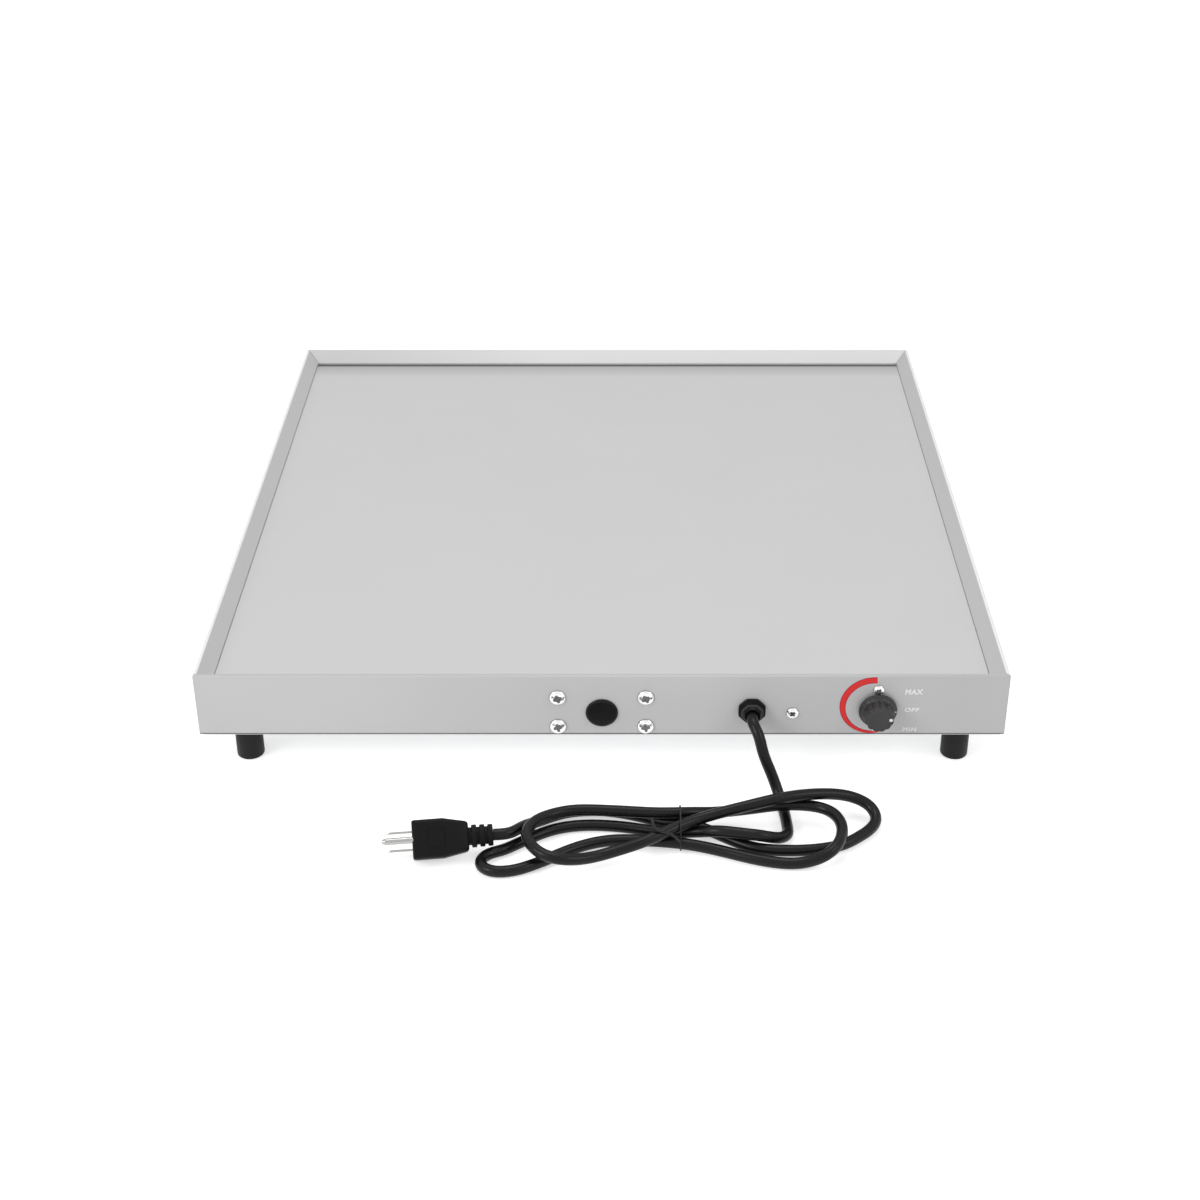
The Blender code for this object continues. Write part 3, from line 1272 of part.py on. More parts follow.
WHITE_PLASTIC = new_material("white_plastic", (0.80, 0.80, 0.78), 0.45)
WOOL = new_material("mineral_wool", (0.72, 0.66, 0.45), 0.95)
RED_WIRE = new_material("red_wire", (0.50, 0.03, 0.03), 0.45)
WHITE_WIRE = new_material("white_wire", (0.75, 0.75, 0.72), 0.45)
GREEN_WIRE = new_material("green_wire", (0.03, 0.30, 0.06), 0.45)

body_panels()
heated_plate()
bottom_cover()
feet()
heating()
front_fittings()
knob()
thermostat()
terminals()
wiring()
cord()
plug()
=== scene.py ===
"""Looks of the warming shelf: its finer pieces, its finishes, the light and the camera.

Everything is in metres in the shelf's own frame: X to the viewer's right, Y to the back, Z up.
"""

import math

import bmesh
import bpy
import numpy as np
from mathutils import Matrix, Vector


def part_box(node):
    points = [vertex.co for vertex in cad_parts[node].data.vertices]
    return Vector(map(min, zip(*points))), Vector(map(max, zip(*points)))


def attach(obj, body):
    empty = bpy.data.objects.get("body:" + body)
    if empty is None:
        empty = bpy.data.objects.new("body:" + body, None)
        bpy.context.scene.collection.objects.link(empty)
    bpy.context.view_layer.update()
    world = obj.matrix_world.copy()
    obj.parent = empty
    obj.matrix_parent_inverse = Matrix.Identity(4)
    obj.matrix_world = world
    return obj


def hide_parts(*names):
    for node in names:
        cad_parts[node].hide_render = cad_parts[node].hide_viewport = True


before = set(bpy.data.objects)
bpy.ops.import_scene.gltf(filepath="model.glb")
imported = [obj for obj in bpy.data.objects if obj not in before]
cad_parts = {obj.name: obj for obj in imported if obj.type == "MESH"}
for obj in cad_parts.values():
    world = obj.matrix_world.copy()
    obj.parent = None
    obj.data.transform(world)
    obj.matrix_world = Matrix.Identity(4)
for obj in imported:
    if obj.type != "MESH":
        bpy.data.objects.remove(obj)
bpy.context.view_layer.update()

# Camera, as in the photograph
CAMERA_PLACE = (0.016, -1.507, 0.865)
CAMERA_PITCH = math.radians(30.64)
SENSOR_WIDTH = 36.0
LENS = 58.05
SIDE_SHIFT = -0.0192

# Places read from the frame
FACE_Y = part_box("front_panel")[0].y
RIM_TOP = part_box("front_panel")[1].z
PANEL_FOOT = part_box("front_panel")[0].z
PLATE_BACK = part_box("heated_plate")[1].y
GLAND_LOW, GLAND_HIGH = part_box("strain_relief")
GLAND_X = (GLAND_LOW.x + GLAND_HIGH.x) / 2
GLAND_Z = (GLAND_LOW.z + GLAND_HIGH.z) / 2
KNOB_LOW, KNOB_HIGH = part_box("control_knob")
KNOB_X = (KNOB_LOW.x + KNOB_HIGH.x) / 2
KNOB_Z = (KNOB_LOW.z + KNOB_HIGH.z) / 2
OUTWARD = Matrix.Rotation(math.pi / 2, 4, "X")

# Cord, and its route from the strain relief, the front face and the floor
CORD_RADIUS = 0.00425
CORD_SLACK = 0.0003
SEAT_GAP = 0.0003
HEAD_GAP = 0.000036
CORD_POINTS = 900
PLUG_ROLL = math.radians(49.0)
PLUG_YAW = math.radians(7.0)
LEAD_ROUTE = (
    (0.0037, -0.0260, 0.0465),
    (0.0073, -0.0325, 0.0350),
    (0.0136, -0.0380, 0.0200),
    (0.0185, -0.0455, 0.0085),
    (0.0211, -0.0570, 0.0046),
)
HANK_ROUTE = (
    (0.0228, -0.0852, 0.0044),
    (0.0214, -0.0919, 0.0051),
    (0.0169, -0.0971, 0.0067),
    (0.0089, -0.1018, 0.0107),
    (0.0015, -0.1036, 0.0135),
    (-0.0071, -0.1030, 0.0143),
    (-0.0256, -0.0995, 0.0141),
    (-0.0334, -0.0969, 0.0122),
    (-0.0419, -0.0930, 0.0088),
    (-0.0555, -0.0903, 0.0063),
    (-0.0736, -0.0875, 0.0052),
    (-0.0933, -0.0823, 0.0044),
    (-0.1218, -0.0795, 0.0044),
    (-0.1465, -0.0844, 0.0044),
    (-0.1629, -0.0940, 0.0044),
    (-0.1741, -0.1022, 0.0044),
    (-0.1831, -0.1084, 0.0044),
    (-0.1908, -0.1120, 0.0044),
    (-0.1962, -0.1169, 0.0044),
    (-0.1980, -0.1229, 0.0044),
    (-0.1956, -0.1286, 0.0044),
    (-0.1900, -0.1323, 0.0044),
    (-0.1825, -0.1332, 0.0044),
    (-0.1727, -0.1312, 0.0044),
    (-0.1616, -0.1259, 0.0044),
    (-0.1455, -0.1156, 0.0044),
    (-0.1279, -0.1047, 0.0044),
    (-0.1063, -0.0977, 0.0044),
    (-0.0810, -0.0987, 0.0052),
    (-0.0559, -0.1033, 0.0063),
    (-0.0372, -0.1066, 0.0050),
    (-0.0202, -0.1122, 0.0044),
    (-0.0006, -0.1196, 0.0044),
    (0.0219, -0.1240, 0.0044),
    (0.0374, -0.1241, 0.0070),
    (0.0480, -0.1220, 0.0112),
    (0.0557, -0.1146, 0.0139),
    (0.0601, -0.1018, 0.0144),
    (0.0600, -0.0881, 0.0143),
    (0.0546, -0.0762, 0.0139),
    (0.0432, -0.0691, 0.0136),
    (0.0212, -0.0681, 0.0142),
    (-0.0024, -0.0710, 0.0132),
    (-0.0295, -0.0724, 0.0108),
    (-0.0414, -0.0756, 0.0130),
    (-0.0554, -0.0795, 0.0157),
    (-0.0736, -0.0784, 0.0148),
    (-0.0932, -0.0756, 0.0139),
    (-0.1137, -0.0739, 0.0138),
    (-0.1342, -0.0742, 0.0138),
    (-0.1515, -0.0819, 0.0150),
    (-0.1612, -0.0927, 0.0169),
    (-0.1657, -0.1054, 0.0176),
    (-0.1622, -0.1191, 0.0174),
    (-0.1534, -0.1284, 0.0162),
    (-0.1399, -0.1313, 0.0140),
    (-0.1203, -0.1245, 0.0100),
    (-0.0990, -0.1166, 0.0110),
    (-0.0812, -0.1112, 0.0144),
    (-0.0558, -0.0959, 0.0164),
    (-0.0338, -0.0858, 0.0180),
    (-0.0083, -0.0804, 0.0220),
    (0.0171, -0.0736, 0.0242),
    (0.0385, -0.0670, 0.0229),
    (0.0583, -0.0609, 0.0187),
    (0.0720, -0.0590, 0.0145),
    (0.0822, -0.0623, 0.0110),
    (0.0870, -0.0679, 0.0081),
    (0.0877, -0.0757, 0.0060),
    (0.0823, -0.0853, 0.0049),
    (0.0727, -0.0941, 0.0044),
    (0.0610, -0.1023, 0.0044),
    (0.0410, -0.1081, 0.0044),
    (0.0194, -0.1093, 0.0044),
    (0.0087, -0.1085, 0.0044),
    (-0.0012, -0.1064, 0.0044),
    (-0.0111, -0.1018, 0.0044),
    (-0.0209, -0.0953, 0.0044),
    (-0.0321, -0.0875, 0.0045),
    (-0.0436, -0.0814, 0.0050),
    (-0.0552, -0.0791, 0.0061),
    (-0.0654, -0.0770, 0.0053),
    (-0.0771, -0.0724, 0.0047),
    (-0.0932, -0.0660, 0.0044),
    (-0.1050, -0.0629, 0.0044),
    (-0.1139, -0.0617, 0.0044),
    (-0.1331, -0.0629, 0.0044),
    (-0.1484, -0.0690, 0.0046),
    (-0.1598, -0.0772, 0.0058),
    (-0.1678, -0.0870, 0.0100),
    (-0.1727, -0.0962, 0.0136),
    (-0.1765, -0.1015, 0.0151),
    (-0.1812, -0.1044, 0.0158),
)
TIE_FROM_GLAND = -0.0555


def grid_object(name, verts, faces, material, body="shelf"):
    """A mesh object that rides on a body."""
    mesh = bpy.data.meshes.new(name)
    mesh.from_pydata([tuple(v) for v in verts], [], faces)
    return mesh_object(name, mesh, material, body)


def mesh_object(name, mesh, material, body="shelf", sharp=35.0):
    """An object from a finished mesh, smooth but for its sharp edges, on a body."""
    bm = bmesh.new()
    bm.from_mesh(mesh)
    bmesh.ops.remove_doubles(bm, verts=bm.verts, dist=1e-6)
    bmesh.ops.recalc_face_normals(bm, faces=bm.faces)
    bm.to_mesh(mesh)
    bm.free()
    mesh.shade_smooth()
    mesh.set_sharp_from_angle(angle=math.radians(sharp))
    mesh.materials.clear()
    mesh.materials.append(material)
    obj = bpy.data.objects.new(name, mesh)
    bpy.context.scene.collection.objects.link(obj)
    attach(obj, body)
    return obj


def rounded(points, steps=4):
    """A line of (across, up, fillet) points with each corner rounded by its fillet."""
    line = []
    last = len(points) - 1
    for i, (across, up, fillet) in enumerate(points):
        corner = Vector((across, up))
        if not fillet or i in (0, last):
            line.append(tuple(corner))
            continue
        before = (Vector(points[i - 1][:2]) - corner).normalized()
        after = (Vector(points[i + 1][:2]) - corner).normalized()
        half = before.angle(after) / 2
        reach = fillet / math.tan(half)
        centre = corner + (before + after).normalized() * (fillet / math.sin(half))
        start = corner + before * reach - centre
        end = corner + after * reach - centre
        sweep = start.angle_signed(end)
        for step in range(steps + 1):
            line.append(tuple(centre + Matrix.Rotation(-sweep * step / steps, 2) @ start))
    return line


def turned(name, profile, place, material, body="shelf", sides=64, shape=None, sharp=35.0):
    """Turn a profile of (radius, height) points round local Z; shape gives each angle's radius."""
    verts = []
    faces = []
    rings = []
    for radius, height in profile:
        if radius < 1e-6:
            rings.append([len(verts)])
            verts.append(place @ Vector((0, 0, height)))
            continue
        ring = []
        for i in range(sides):
            angle = math.tau * i / sides
            reach = shape(radius, height, angle) if shape else radius
            ring.append(len(verts))
            verts.append(place @ Vector((reach * math.cos(angle), reach * math.sin(angle), height)))
        rings.append(ring)
    for lower, upper in zip(rings, rings[1:]):
        for i in range(sides):
            j = (i + 1) % sides
            if len(lower) == 1 and len(upper) > 1:
                faces.append((lower[0], upper[i], upper[j]))
            elif len(upper) == 1 and len(lower) > 1:
                faces.append((lower[i], upper[0], lower[j]))
            elif len(lower) > 1:
                faces.append((lower[i], upper[i], upper[j], lower[j]))
    mesh = bpy.data.meshes.new(name)
    mesh.from_pydata([tuple(v) for v in verts], [], faces)
    return mesh_object(name, mesh, material, body, sharp)


def lofted_mesh(name, sections):
    """A closed mesh through sections of equal point counts."""
    verts = [point for section in sections for point in section]
    count = len(sections[0])
    faces = []
    for level in range(len(sections) - 1):
        for i in range(count):
            j = (i + 1) % count
            low = level * count
            faces.append((low + i, low + j, low + count + j, low + count + i))
    faces.append(tuple(reversed(range(count))))
    top = (len(sections) - 1) * count
    faces.append(tuple(range(top, top + count)))
    mesh = bpy.data.meshes.new(name)
    mesh.from_pydata([tuple(v) for v in verts], [], faces)
    return mesh


def cut(obj, cutter_mesh, material):
    """Cut a mesh object by another mesh, whose faces leave their material on the cut."""
    bm = bmesh.new()
    bm.from_mesh(cutter_mesh)
    bmesh.ops.recalc_face_normals(bm, faces=bm.faces)
    bm.to_mesh(cutter_mesh)
    bm.free()
    cutter_mesh.materials.append(material)
    cutter = bpy.data.objects.new(obj.name + "_cutter", cutter_mesh)
    bpy.context.scene.collection.objects.link(cutter)
    modifier = obj.modifiers.new("cut", "BOOLEAN")
    modifier.operation = "DIFFERENCE"
    modifier.solver = "EXACT"
    modifier.material_mode = "TRANSFER"
    modifier.object = cutter
    bpy.context.view_layer.update()
    graph = bpy.context.evaluated_depsgraph_get()
    result = bpy.data.meshes.new_from_object(obj.evaluated_get(graph))
    obj.modifiers.clear()
    old = obj.data
    obj.data = result
    bpy.data.meshes.remove(old)
    bpy.data.objects.remove(cutter, do_unlink=True)
    obj.data.shade_smooth()
    obj.data.set_sharp_from_angle(angle=math.radians(30))
    return obj


def rounded_rectangle(width, height, radius, steps=6):
    """Points of a rectangle with round corners."""
    points = []
    for corner, (across, up) in enumerate(((1, 1), (-1, 1), (-1, -1), (1, -1))):
        for step in range(steps + 1):
            angle = math.pi / 2 * (corner + step / steps)
            x = across * (width / 2 - radius) + radius * math.cos(angle)
            y = up * (height / 2 - radius) + radius * math.sin(angle)
            points.append((x, y))
    return points


class Graph:
    """A material's node graph with its Principled shader."""

    def __init__(self, name):
        self.material = bpy.data.materials.new(name)
        self.material.use_nodes = True
        self.tree = self.material.node_tree
        self.shader = self.tree.nodes["Principled BSDF"]

    def node(self, kind, **inputs):
        """Add a node and set its inputs by name."""
        node = self.tree.nodes.new(kind)
        for key, value in inputs.items():
            node.inputs[key.replace("_", " ")].default_value = value
        return node

    def link(self, source, target):
        """Join an output socket to an input socket."""
        self.tree.links.new(source, target)

    def set(self, socket, value):
        """Set one of the shader's own sockets."""
        self.shader.inputs[socket].default_value = value

    def noise(self, scale, detail=4.0):
        """Noise from 0 to 1 whose grain along each axis is about 1 / scale metres long."""
        if not isinstance(scale, tuple):
            scale = (scale, scale, scale)
        place = self.node("ShaderNodeTexCoord")
        mapping = self.node("ShaderNodeMapping", Scale=scale)
        self.link(place.outputs["Object"], mapping.inputs["Vector"])
        node = self.node("ShaderNodeTexNoise", Scale=1.0, Detail=detail)
        self.link(mapping.outputs["Vector"], node.inputs["Vector"])
        return node.outputs["Fac"]

    def sum(self, first, first_share, second, second_share):
        """A weighted sum of two values."""
        part = self.node("ShaderNodeMath")
        part.operation = "MULTIPLY"
        self.link(first, part.inputs[0])
        part.inputs[1].default_value = first_share
        whole = self.node("ShaderNodeMath")
        whole.operation = "MULTIPLY_ADD"
        self.link(second, whole.inputs[0])
        whole.inputs[1].default_value = second_share
        self.link(part.outputs[0], whole.inputs[2])
        return whole.outputs[0]

    def spread(self, value, start, end, low=0.0, high=1.0):
        """Map a value from start and end to low and high."""
        node = self.node("ShaderNodeMapRange", From_Min=start, From_Max=end, To_Min=low, To_Max=high)
        self.link(value, node.inputs["Value"])
        return node.outputs["Result"]

    def along(self, axis, start, end):
        """0 to 1 between two places along an axis of the shelf, in metres."""
        place = self.node("ShaderNodeTexCoord")
        split = self.node("ShaderNodeSeparateXYZ")
        self.link(place.outputs["Object"], split.inputs["Vector"])
        return self.spread(split.outputs[axis], start, end)

    def mixed(self, factor, first, second):
        """Mix two colours, each given or linked, by a factor."""
        node = self.node("ShaderNodeMix")
        node.data_type = "RGBA"
        self.link(factor, node.inputs[0])
        for socket, colour in ((node.inputs[6], first), (node.inputs[7], second)):
            if isinstance(colour, tuple):
                socket.default_value = (*colour, 1.0)
            else:
                self.link(colour, socket)
        return node.outputs[2]

    def bump(self, value, strength, distance):
        """Bump the surface by a value."""
        node = self.node("ShaderNodeBump", Strength=strength, Distance=distance)
        self.link(value, node.inputs["Height"])
        self.link(node.outputs["Normal"], self.shader.inputs["Normal"])


def shade(colour, share):
    """A colour made lighter or darker by a share."""
    return tuple(min(1.0, part * (1 + share)) for part in colour)


def surface(name, colour, roughness, metallic=0.0, gloss=0.5, grain=900, tone=0.04, rough=0.05,
            relief=0.00003, patch=12.0, bands=()):
    """A finish with fine grain, a faint broad mottle, and bands of painted light and shade along an
    axis.

    The grain is one number where it is even, or one for each axis. A band is an axis, the
    places where it starts and is full, and its colour.
    """
    graph = Graph(name)
    fine = graph.noise(grain)
    broad = graph.noise(patch, detail=2.0)
    factor = graph.spread(graph.sum(fine, 0.5, broad, 0.5), 0.3, 0.7)
    colours = graph.mixed(factor, shade(colour, -tone), shade(colour, tone))
    # Each band mixes in painted light or painted shade between its two places.
    for axis, start, end, band_colour in bands:
        colours = graph.mixed(graph.along(axis, start, end), colours, band_colour)
    graph.link(colours, graph.shader.inputs["Base Color"])
    graph.link(
        graph.spread(fine, 0.3, 0.7, roughness - rough, roughness + rough),
        graph.shader.inputs["Roughness"],
    )
    graph.set("Metallic", metallic)
    graph.set("Specular IOR Level", gloss)
    graph.bump(fine, 1.0, relief)
    return graph.material


# Grain of the brushed sheet, its tones, and bands of painted light and shade
ACROSS = (14, 2600, 2600)
ALONG = (2600, 14, 2600)
STEEL = (0.61, 0.61, 0.615)
# Painted light and shade: lighter and darker steel laid across the sheets from side to side.
REAR_PAINTED_LIGHT = (0.74, 0.74, 0.745)
MIDDLE_PAINTED_LIGHT = (0.69, 0.69, 0.695)
RIGHT_PAINTED_SHADE = (0.56, 0.56, 0.565)
# Painted highlight along the top edge of the side rims.
RIM_PAINTED_HIGHLIGHT = (0.93, 0.93, 0.93)
# A dark grey: painted shade along the front panel's foot, and a painted highlight ring on the black
# strain relief.
SHADE_AND_GLINT_GREY = (0.06, 0.06, 0.06)
JET = (0.006, 0.006, 0.0065)
# Painted shade on the front rim's top flat, which dims its highlight.
RIM_FLAT_PAINTED_SHADE = (0.52, 0.52, 0.525)
RIM_HIGHLIGHT_BAND = ("Z", RIM_TOP - 0.0007, RIM_TOP - 0.0002, RIM_PAINTED_HIGHLIGHT)
RIM_FLAT_SHADE_BAND = ("Z", RIM_TOP - 0.0007, RIM_TOP - 0.0002, RIM_FLAT_PAINTED_SHADE)
# Painted shade along the front panel's bottom fold.
FOOT_SHADE_BAND = ("Z", PANEL_FOOT + 0.0020, PANEL_FOOT + 0.0010, SHADE_AND_GLINT_GREY)
# Painted shade in the gap under the rear wall: a dark strip along the plate's rear edge, fading
# forwards.
SEAM_SHADE_SOFT = ("Y", PLATE_BACK - 0.030, PLATE_BACK + 0.004, (0.40, 0.40, 0.40))
SEAM_SHADE_DARK = ("Y", PLATE_BACK - 0.0060, PLATE_BACK - 0.0030, (0.08, 0.08, 0.08))
# Painted light: the rear wall lighter from its left end towards the middle, the front lighter towards
# the middle; painted shade darker towards the right.
REAR_LIGHT_BAND = ("X", -0.27, -0.06, REAR_PAINTED_LIGHT)
MIDDLE_LIGHT_BAND = ("X", -0.29, 0.03, MIDDLE_PAINTED_LIGHT)
RIGHT_SHADE_BAND = ("X", 0.08, 0.27, RIGHT_PAINTED_SHADE)
# Painted shade round the foot of each screw head.
HEAD_EDGE_SHADE = ("Y", FACE_Y - 0.0010, FACE_Y - 0.0004, (0.30, 0.30, 0.30))
# Painted highlight: a lighter ring on the strain relief at its nose step, ended by plain black in front
# of it.
GLAND_EDGE = GLAND_LOW.y + 0.0032
EDGE_GLINT = ("Y", GLAND_EDGE + 0.0004, GLAND_EDGE, SHADE_AND_GLINT_GREY)
EDGE_GLINT_END = ("Y", GLAND_EDGE - 0.0003, GLAND_EDGE - 0.0006, JET)
STEEL_FINISH = {"roughness": 0.56, "metallic": 0.15, "gloss": 0.35, "tone": 0.02, "relief": 0.000004}

# Front sheet: painted light and shade across its width, painted shade on its rim flat and along its
# foot.
FRONT_STEEL = surface(
    "steel_front", STEEL, grain=ACROSS, bands=[MIDDLE_LIGHT_BAND, RIGHT_SHADE_BAND, RIM_FLAT_SHADE_BAND, FOOT_SHADE_BAND],
    **STEEL_FINISH,
)
REAR_STEEL = surface("steel_rear", STEEL, grain=ACROSS, bands=[REAR_LIGHT_BAND], **STEEL_FINISH)
# Side sheets: painted shade towards the right and a painted highlight along the rims' top edge.
SIDE_STEEL = surface("steel_side", STEEL, grain=ALONG, bands=[RIGHT_SHADE_BAND, RIM_HIGHLIGHT_BAND], **STEEL_FINISH)
# The plate, with painted shade along its rear seam.
PLATE_GREY = surface(
    "plate_grey", (0.62, 0.62, 0.62), 0.55, 0.35, grain=1800, tone=0.012,
    rough=0.04, relief=0.000006, bands=[SEAM_SHADE_SOFT, SEAM_SHADE_DARK],
)
COVER_STEEL = surface(
    "cover_galvanised", (0.52, 0.53, 0.54), 0.45, 0.85, grain=60, tone=0.10,
    rough=0.08, relief=0.00001, patch=30.0,
)
ELEMENT_STEEL = surface("element_sheath", (0.26, 0.25, 0.24), 0.50, 0.9, grain=500, tone=0.12)
ZINC = surface("zinc_plate", (0.62, 0.63, 0.66), 0.32, 1.0, grain=400, tone=0.06)
# Nickel screw heads, with painted shade round their foot.
NICKEL = surface(
    "nickel_plate", (0.86, 0.86, 0.87), 0.22, 1.0, grain=700, tone=0.03,
    relief=0.00001, bands=[HEAD_EDGE_SHADE],
)
# The cross recess is painted dark grey: painted shade in the hollow.
RECESS_SHADE = surface("screw_recess_painted_shade", (0.16, 0.16, 0.16), 0.50, 0.4, gloss=0.3, grain=2500, tone=0.6)
COPPER = surface("bare_copper", (0.78, 0.42, 0.28), 0.35, 1.0, grain=300, tone=0.10)
BLADE_METAL = surface("blade_metal", (0.44, 0.44, 0.43), 0.26, 1.0, grain=(60, 900, 900), tone=0.05)
RUBBER = surface("foot_rubber", (0.012, 0.012, 0.013), 0.50, gloss=0.2, grain=1200, tone=0.2)
CORD_RUBBER = surface("cord_jacket", JET, 0.30, gloss=0.22, grain=700, tone=0.3)
KNOB_PLASTIC = surface("knob_plastic", (0.030, 0.030, 0.031), 0.34, gloss=0.42, grain=1600, tone=0.10)
BLACK_PLASTIC = surface("black_plastic", (0.007, 0.007, 0.0075), 0.30, gloss=0.20, grain=1500, tone=0.2)
# The strain relief's black nylon, with a painted highlight ring at the nose step.
GLAND_PLASTIC = surface(
    "gland_nylon", JET, 0.20, gloss=0.12, grain=1500, tone=0.2,
    bands=[EDGE_GLINT, EDGE_GLINT_END],
)
PLUG_PLASTIC = surface("plug_moulding", JET, 0.46, gloss=0.12, grain=1300, tone=0.3)
TIE_PLASTIC = surface("tie_jacket", (0.008, 0.008, 0.0085), 0.30, gloss=0.4, grain=1500, tone=0.2)
WHITE_PAINT = surface("white_print", (0.95, 0.95, 0.95), 0.45, gloss=0.3, tone=0.03)
FAINT_PAINT = surface("worn_white_print", (0.90, 0.90, 0.90), 0.45, gloss=0.3, tone=0.06)
RED_PAINT = surface("red_print", (0.92, 0.045, 0.048), 0.40, gloss=0.2, tone=0.05)
RED_EDGE = surface("red_print_edge", (0.42, 0.02, 0.03), 0.45, gloss=0.2, tone=0.05)
DARK_PLASTIC = surface("dark_phenolic", (0.035, 0.032, 0.030), 0.45, tone=0.15)
CERAMIC = surface("block_ceramic", (0.78, 0.77, 0.73), 0.40, grain=600, tone=0.04)
WOOL = surface(
    "mineral_wool", (0.66, 0.58, 0.36), 0.93, grain=(160, 900, 300), tone=0.20, rough=0.03,
    relief=0.0006, patch=40.0,
)
WIRE_RED = surface("wire_red", (0.45, 0.02, 0.02), 0.42, grain=800, tone=0.06)
WIRE_WHITE = surface("wire_white", (0.72, 0.72, 0.69), 0.42, grain=800, tone=0.05)
WIRE_GREEN = surface("wire_green", (0.02, 0.26, 0.05), 0.42, grain=800, tone=0.06)


def smooth_route(route, count):
    """Evenly spaced points on a natural cubic through a route's points."""
    knots = np.array(route)
    steps = np.sqrt(np.linalg.norm(np.diff(knots, axis=0), axis=1))
    at = np.concatenate([[0], np.cumsum(steps)])
    size = len(knots)
    matrix = np.eye(size)
    target = np.zeros_like(knots)
    for i in range(1, size - 1):
        matrix[i, i - 1] = steps[i - 1]
        matrix[i, i] = 2 * (steps[i - 1] + steps[i])
        matrix[i, i + 1] = steps[i]
        rise = (knots[i + 1] - knots[i]) / steps[i]
        target[i] = 6 * (rise - (knots[i] - knots[i - 1]) / steps[i - 1])
    bend = np.linalg.solve(matrix, target)
    fine = np.linspace(0, at[-1], 40 * size)
    span = np.clip(np.searchsorted(at, fine, side="right") - 1, 0, size - 2)
    length = steps[span][:, None]
    ahead = (at[span + 1] - fine)[:, None]
    past = (fine - at[span])[:, None]
    curve = (bend[span] * ahead**3 + bend[span + 1] * past**3) / (6 * length)
    curve += (knots[span] / length - bend[span] * length / 6) * ahead
    curve += (knots[span + 1] / length - bend[span + 1] * length / 6) * past
    run = np.concatenate([[0], np.cumsum(np.linalg.norm(np.diff(curve, axis=0), axis=1))])
    even = np.linspace(0, run[-1], count)
    return np.column_stack([np.interp(even, run, curve[:, axis]) for axis in range(3)])


def in_front(place):
    """A place in the shelf's frame from one on the cord's route."""
    x, y, z = place
    return Vector((GLAND_X + x, FACE_Y + y, z))


def plug_meeting():
    """Where the cord meets the plug's relief, on the cord's route."""
    ahead = Matrix.Rotation(PLUG_YAW, 3, "Z") @ Vector((2 * CORD_RADIUS, 0, 0))
    return Vector(HANK_ROUTE[-1]) - ahead


def camera():
    """The camera at the photograph's place."""
    data = bpy.data.cameras.new("camera")
    data.lens = LENS
    data.sensor_width = SENSOR_WIDTH
    data.shift_x = SIDE_SHIFT
    obj = bpy.data.objects.new("camera", data)
    obj.location = CAMERA_PLACE
    obj.rotation_euler = (math.pi / 2 - CAMERA_PITCH, 0, 0)
    bpy.context.scene.collection.objects.link(obj)
    bpy.context.scene.camera = obj


def tube(name, points, radius, material, body="shelf", resolution=4, cyclic=False):
    """A round tube along points."""
    curve = bpy.data.curves.new(name, "CURVE")
    curve.dimensions = "3D"
    curve.bevel_depth = radius
    curve.bevel_resolution = resolution
    curve.use_fill_caps = not cyclic
    spline = curve.splines.new("POLY")
    spline.points.add(len(points) - 1)
    for spline_point, place in zip(spline.points, points):
        spline_point.co = (*place, 1)
    spline.use_cyclic_u = cyclic
    spline.use_smooth = True
    curve.materials.append(material)
    obj = bpy.data.objects.new(name, curve)
    bpy.context.scene.collection.objects.link(obj)
    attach(obj, body)
    return obj


def cord_points():
    """The cord's centreline from the strain relief's mouth to the plug's relief."""
    mouth = FACE_Y - GLAND_LOW.y
    straight = 2 * CORD_RADIUS
    start = (0, -mouth - CORD_SLACK, GLAND_Z)
    leaving = (0, start[1] - straight, GLAND_Z)
    end = plug_meeting()
    route = (start, leaving, *LEAD_ROUTE, *HANK_ROUTE, end)
    return [in_front(point) for point in smooth_route(route, CORD_POINTS)]


def cord():
    """The cord with its tied hank."""
    points = cord_points()
    obj = tube("cord", points, CORD_RADIUS, CORD_RUBBER, resolution=6)
    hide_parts("cord_lead", "cord_hank")
    return obj, points


SHANK_SHARE = 0.42
RECESS_REACH = 0.50
RECESS_WING = 0.125
RECESS_CORE = 1.6
RECESS_LEVELS = ((1.06, 1.2), (1.0, 0.9), (0.35, 0.15))


def screw_head(name, node, turn):
    """A pan-head screw with a tapered cross recess, in place of its plain node."""
    low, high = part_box(node)
    x, z = (low.x + high.x) / 2, (low.z + high.z) / 2
    radius = (high.x - low.x) / 2
    height = FACE_Y - low.y
    shank = high.y - FACE_Y
    profile = rounded((
        (0, height, 0),
        (0.45 * radius, 0.99 * height, 0.5 * radius),
        (0.93 * radius, 0.62 * height, 0.4 * radius),
        (radius, 0.05 * height, 0.05 * radius),
        (0.97 * radius, HEAD_GAP, 0),
        (SHANK_SHARE * radius, HEAD_GAP, 0),
        (SHANK_SHARE * radius, -shank, 0),
        (0, -shank, 0),
    ), 6)
    place = Matrix.Translation((x, FACE_Y, z)) @ OUTWARD
    obj = turned(name, profile, place, NICKEL, sides=48)
    wing = RECESS_WING * radius
    reach = RECESS_REACH * radius
    core = RECESS_CORE * wing
    cross = []
    for quarter in range(4):
        spin = Matrix.Rotation(quarter * math.pi / 2 + turn, 2)
        for point in ((reach, -wing), (reach, wing), (core, core)):
            cross.append(spin @ Vector(point))
    sections = []
    for share, level in RECESS_LEVELS:
        sections.append([place @ Vector((*(p * share), level * height)) for p in cross])
    cut(obj, lofted_mesh(name + "_recess", sections), RECESS_SHADE)
    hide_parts(node)
    return obj


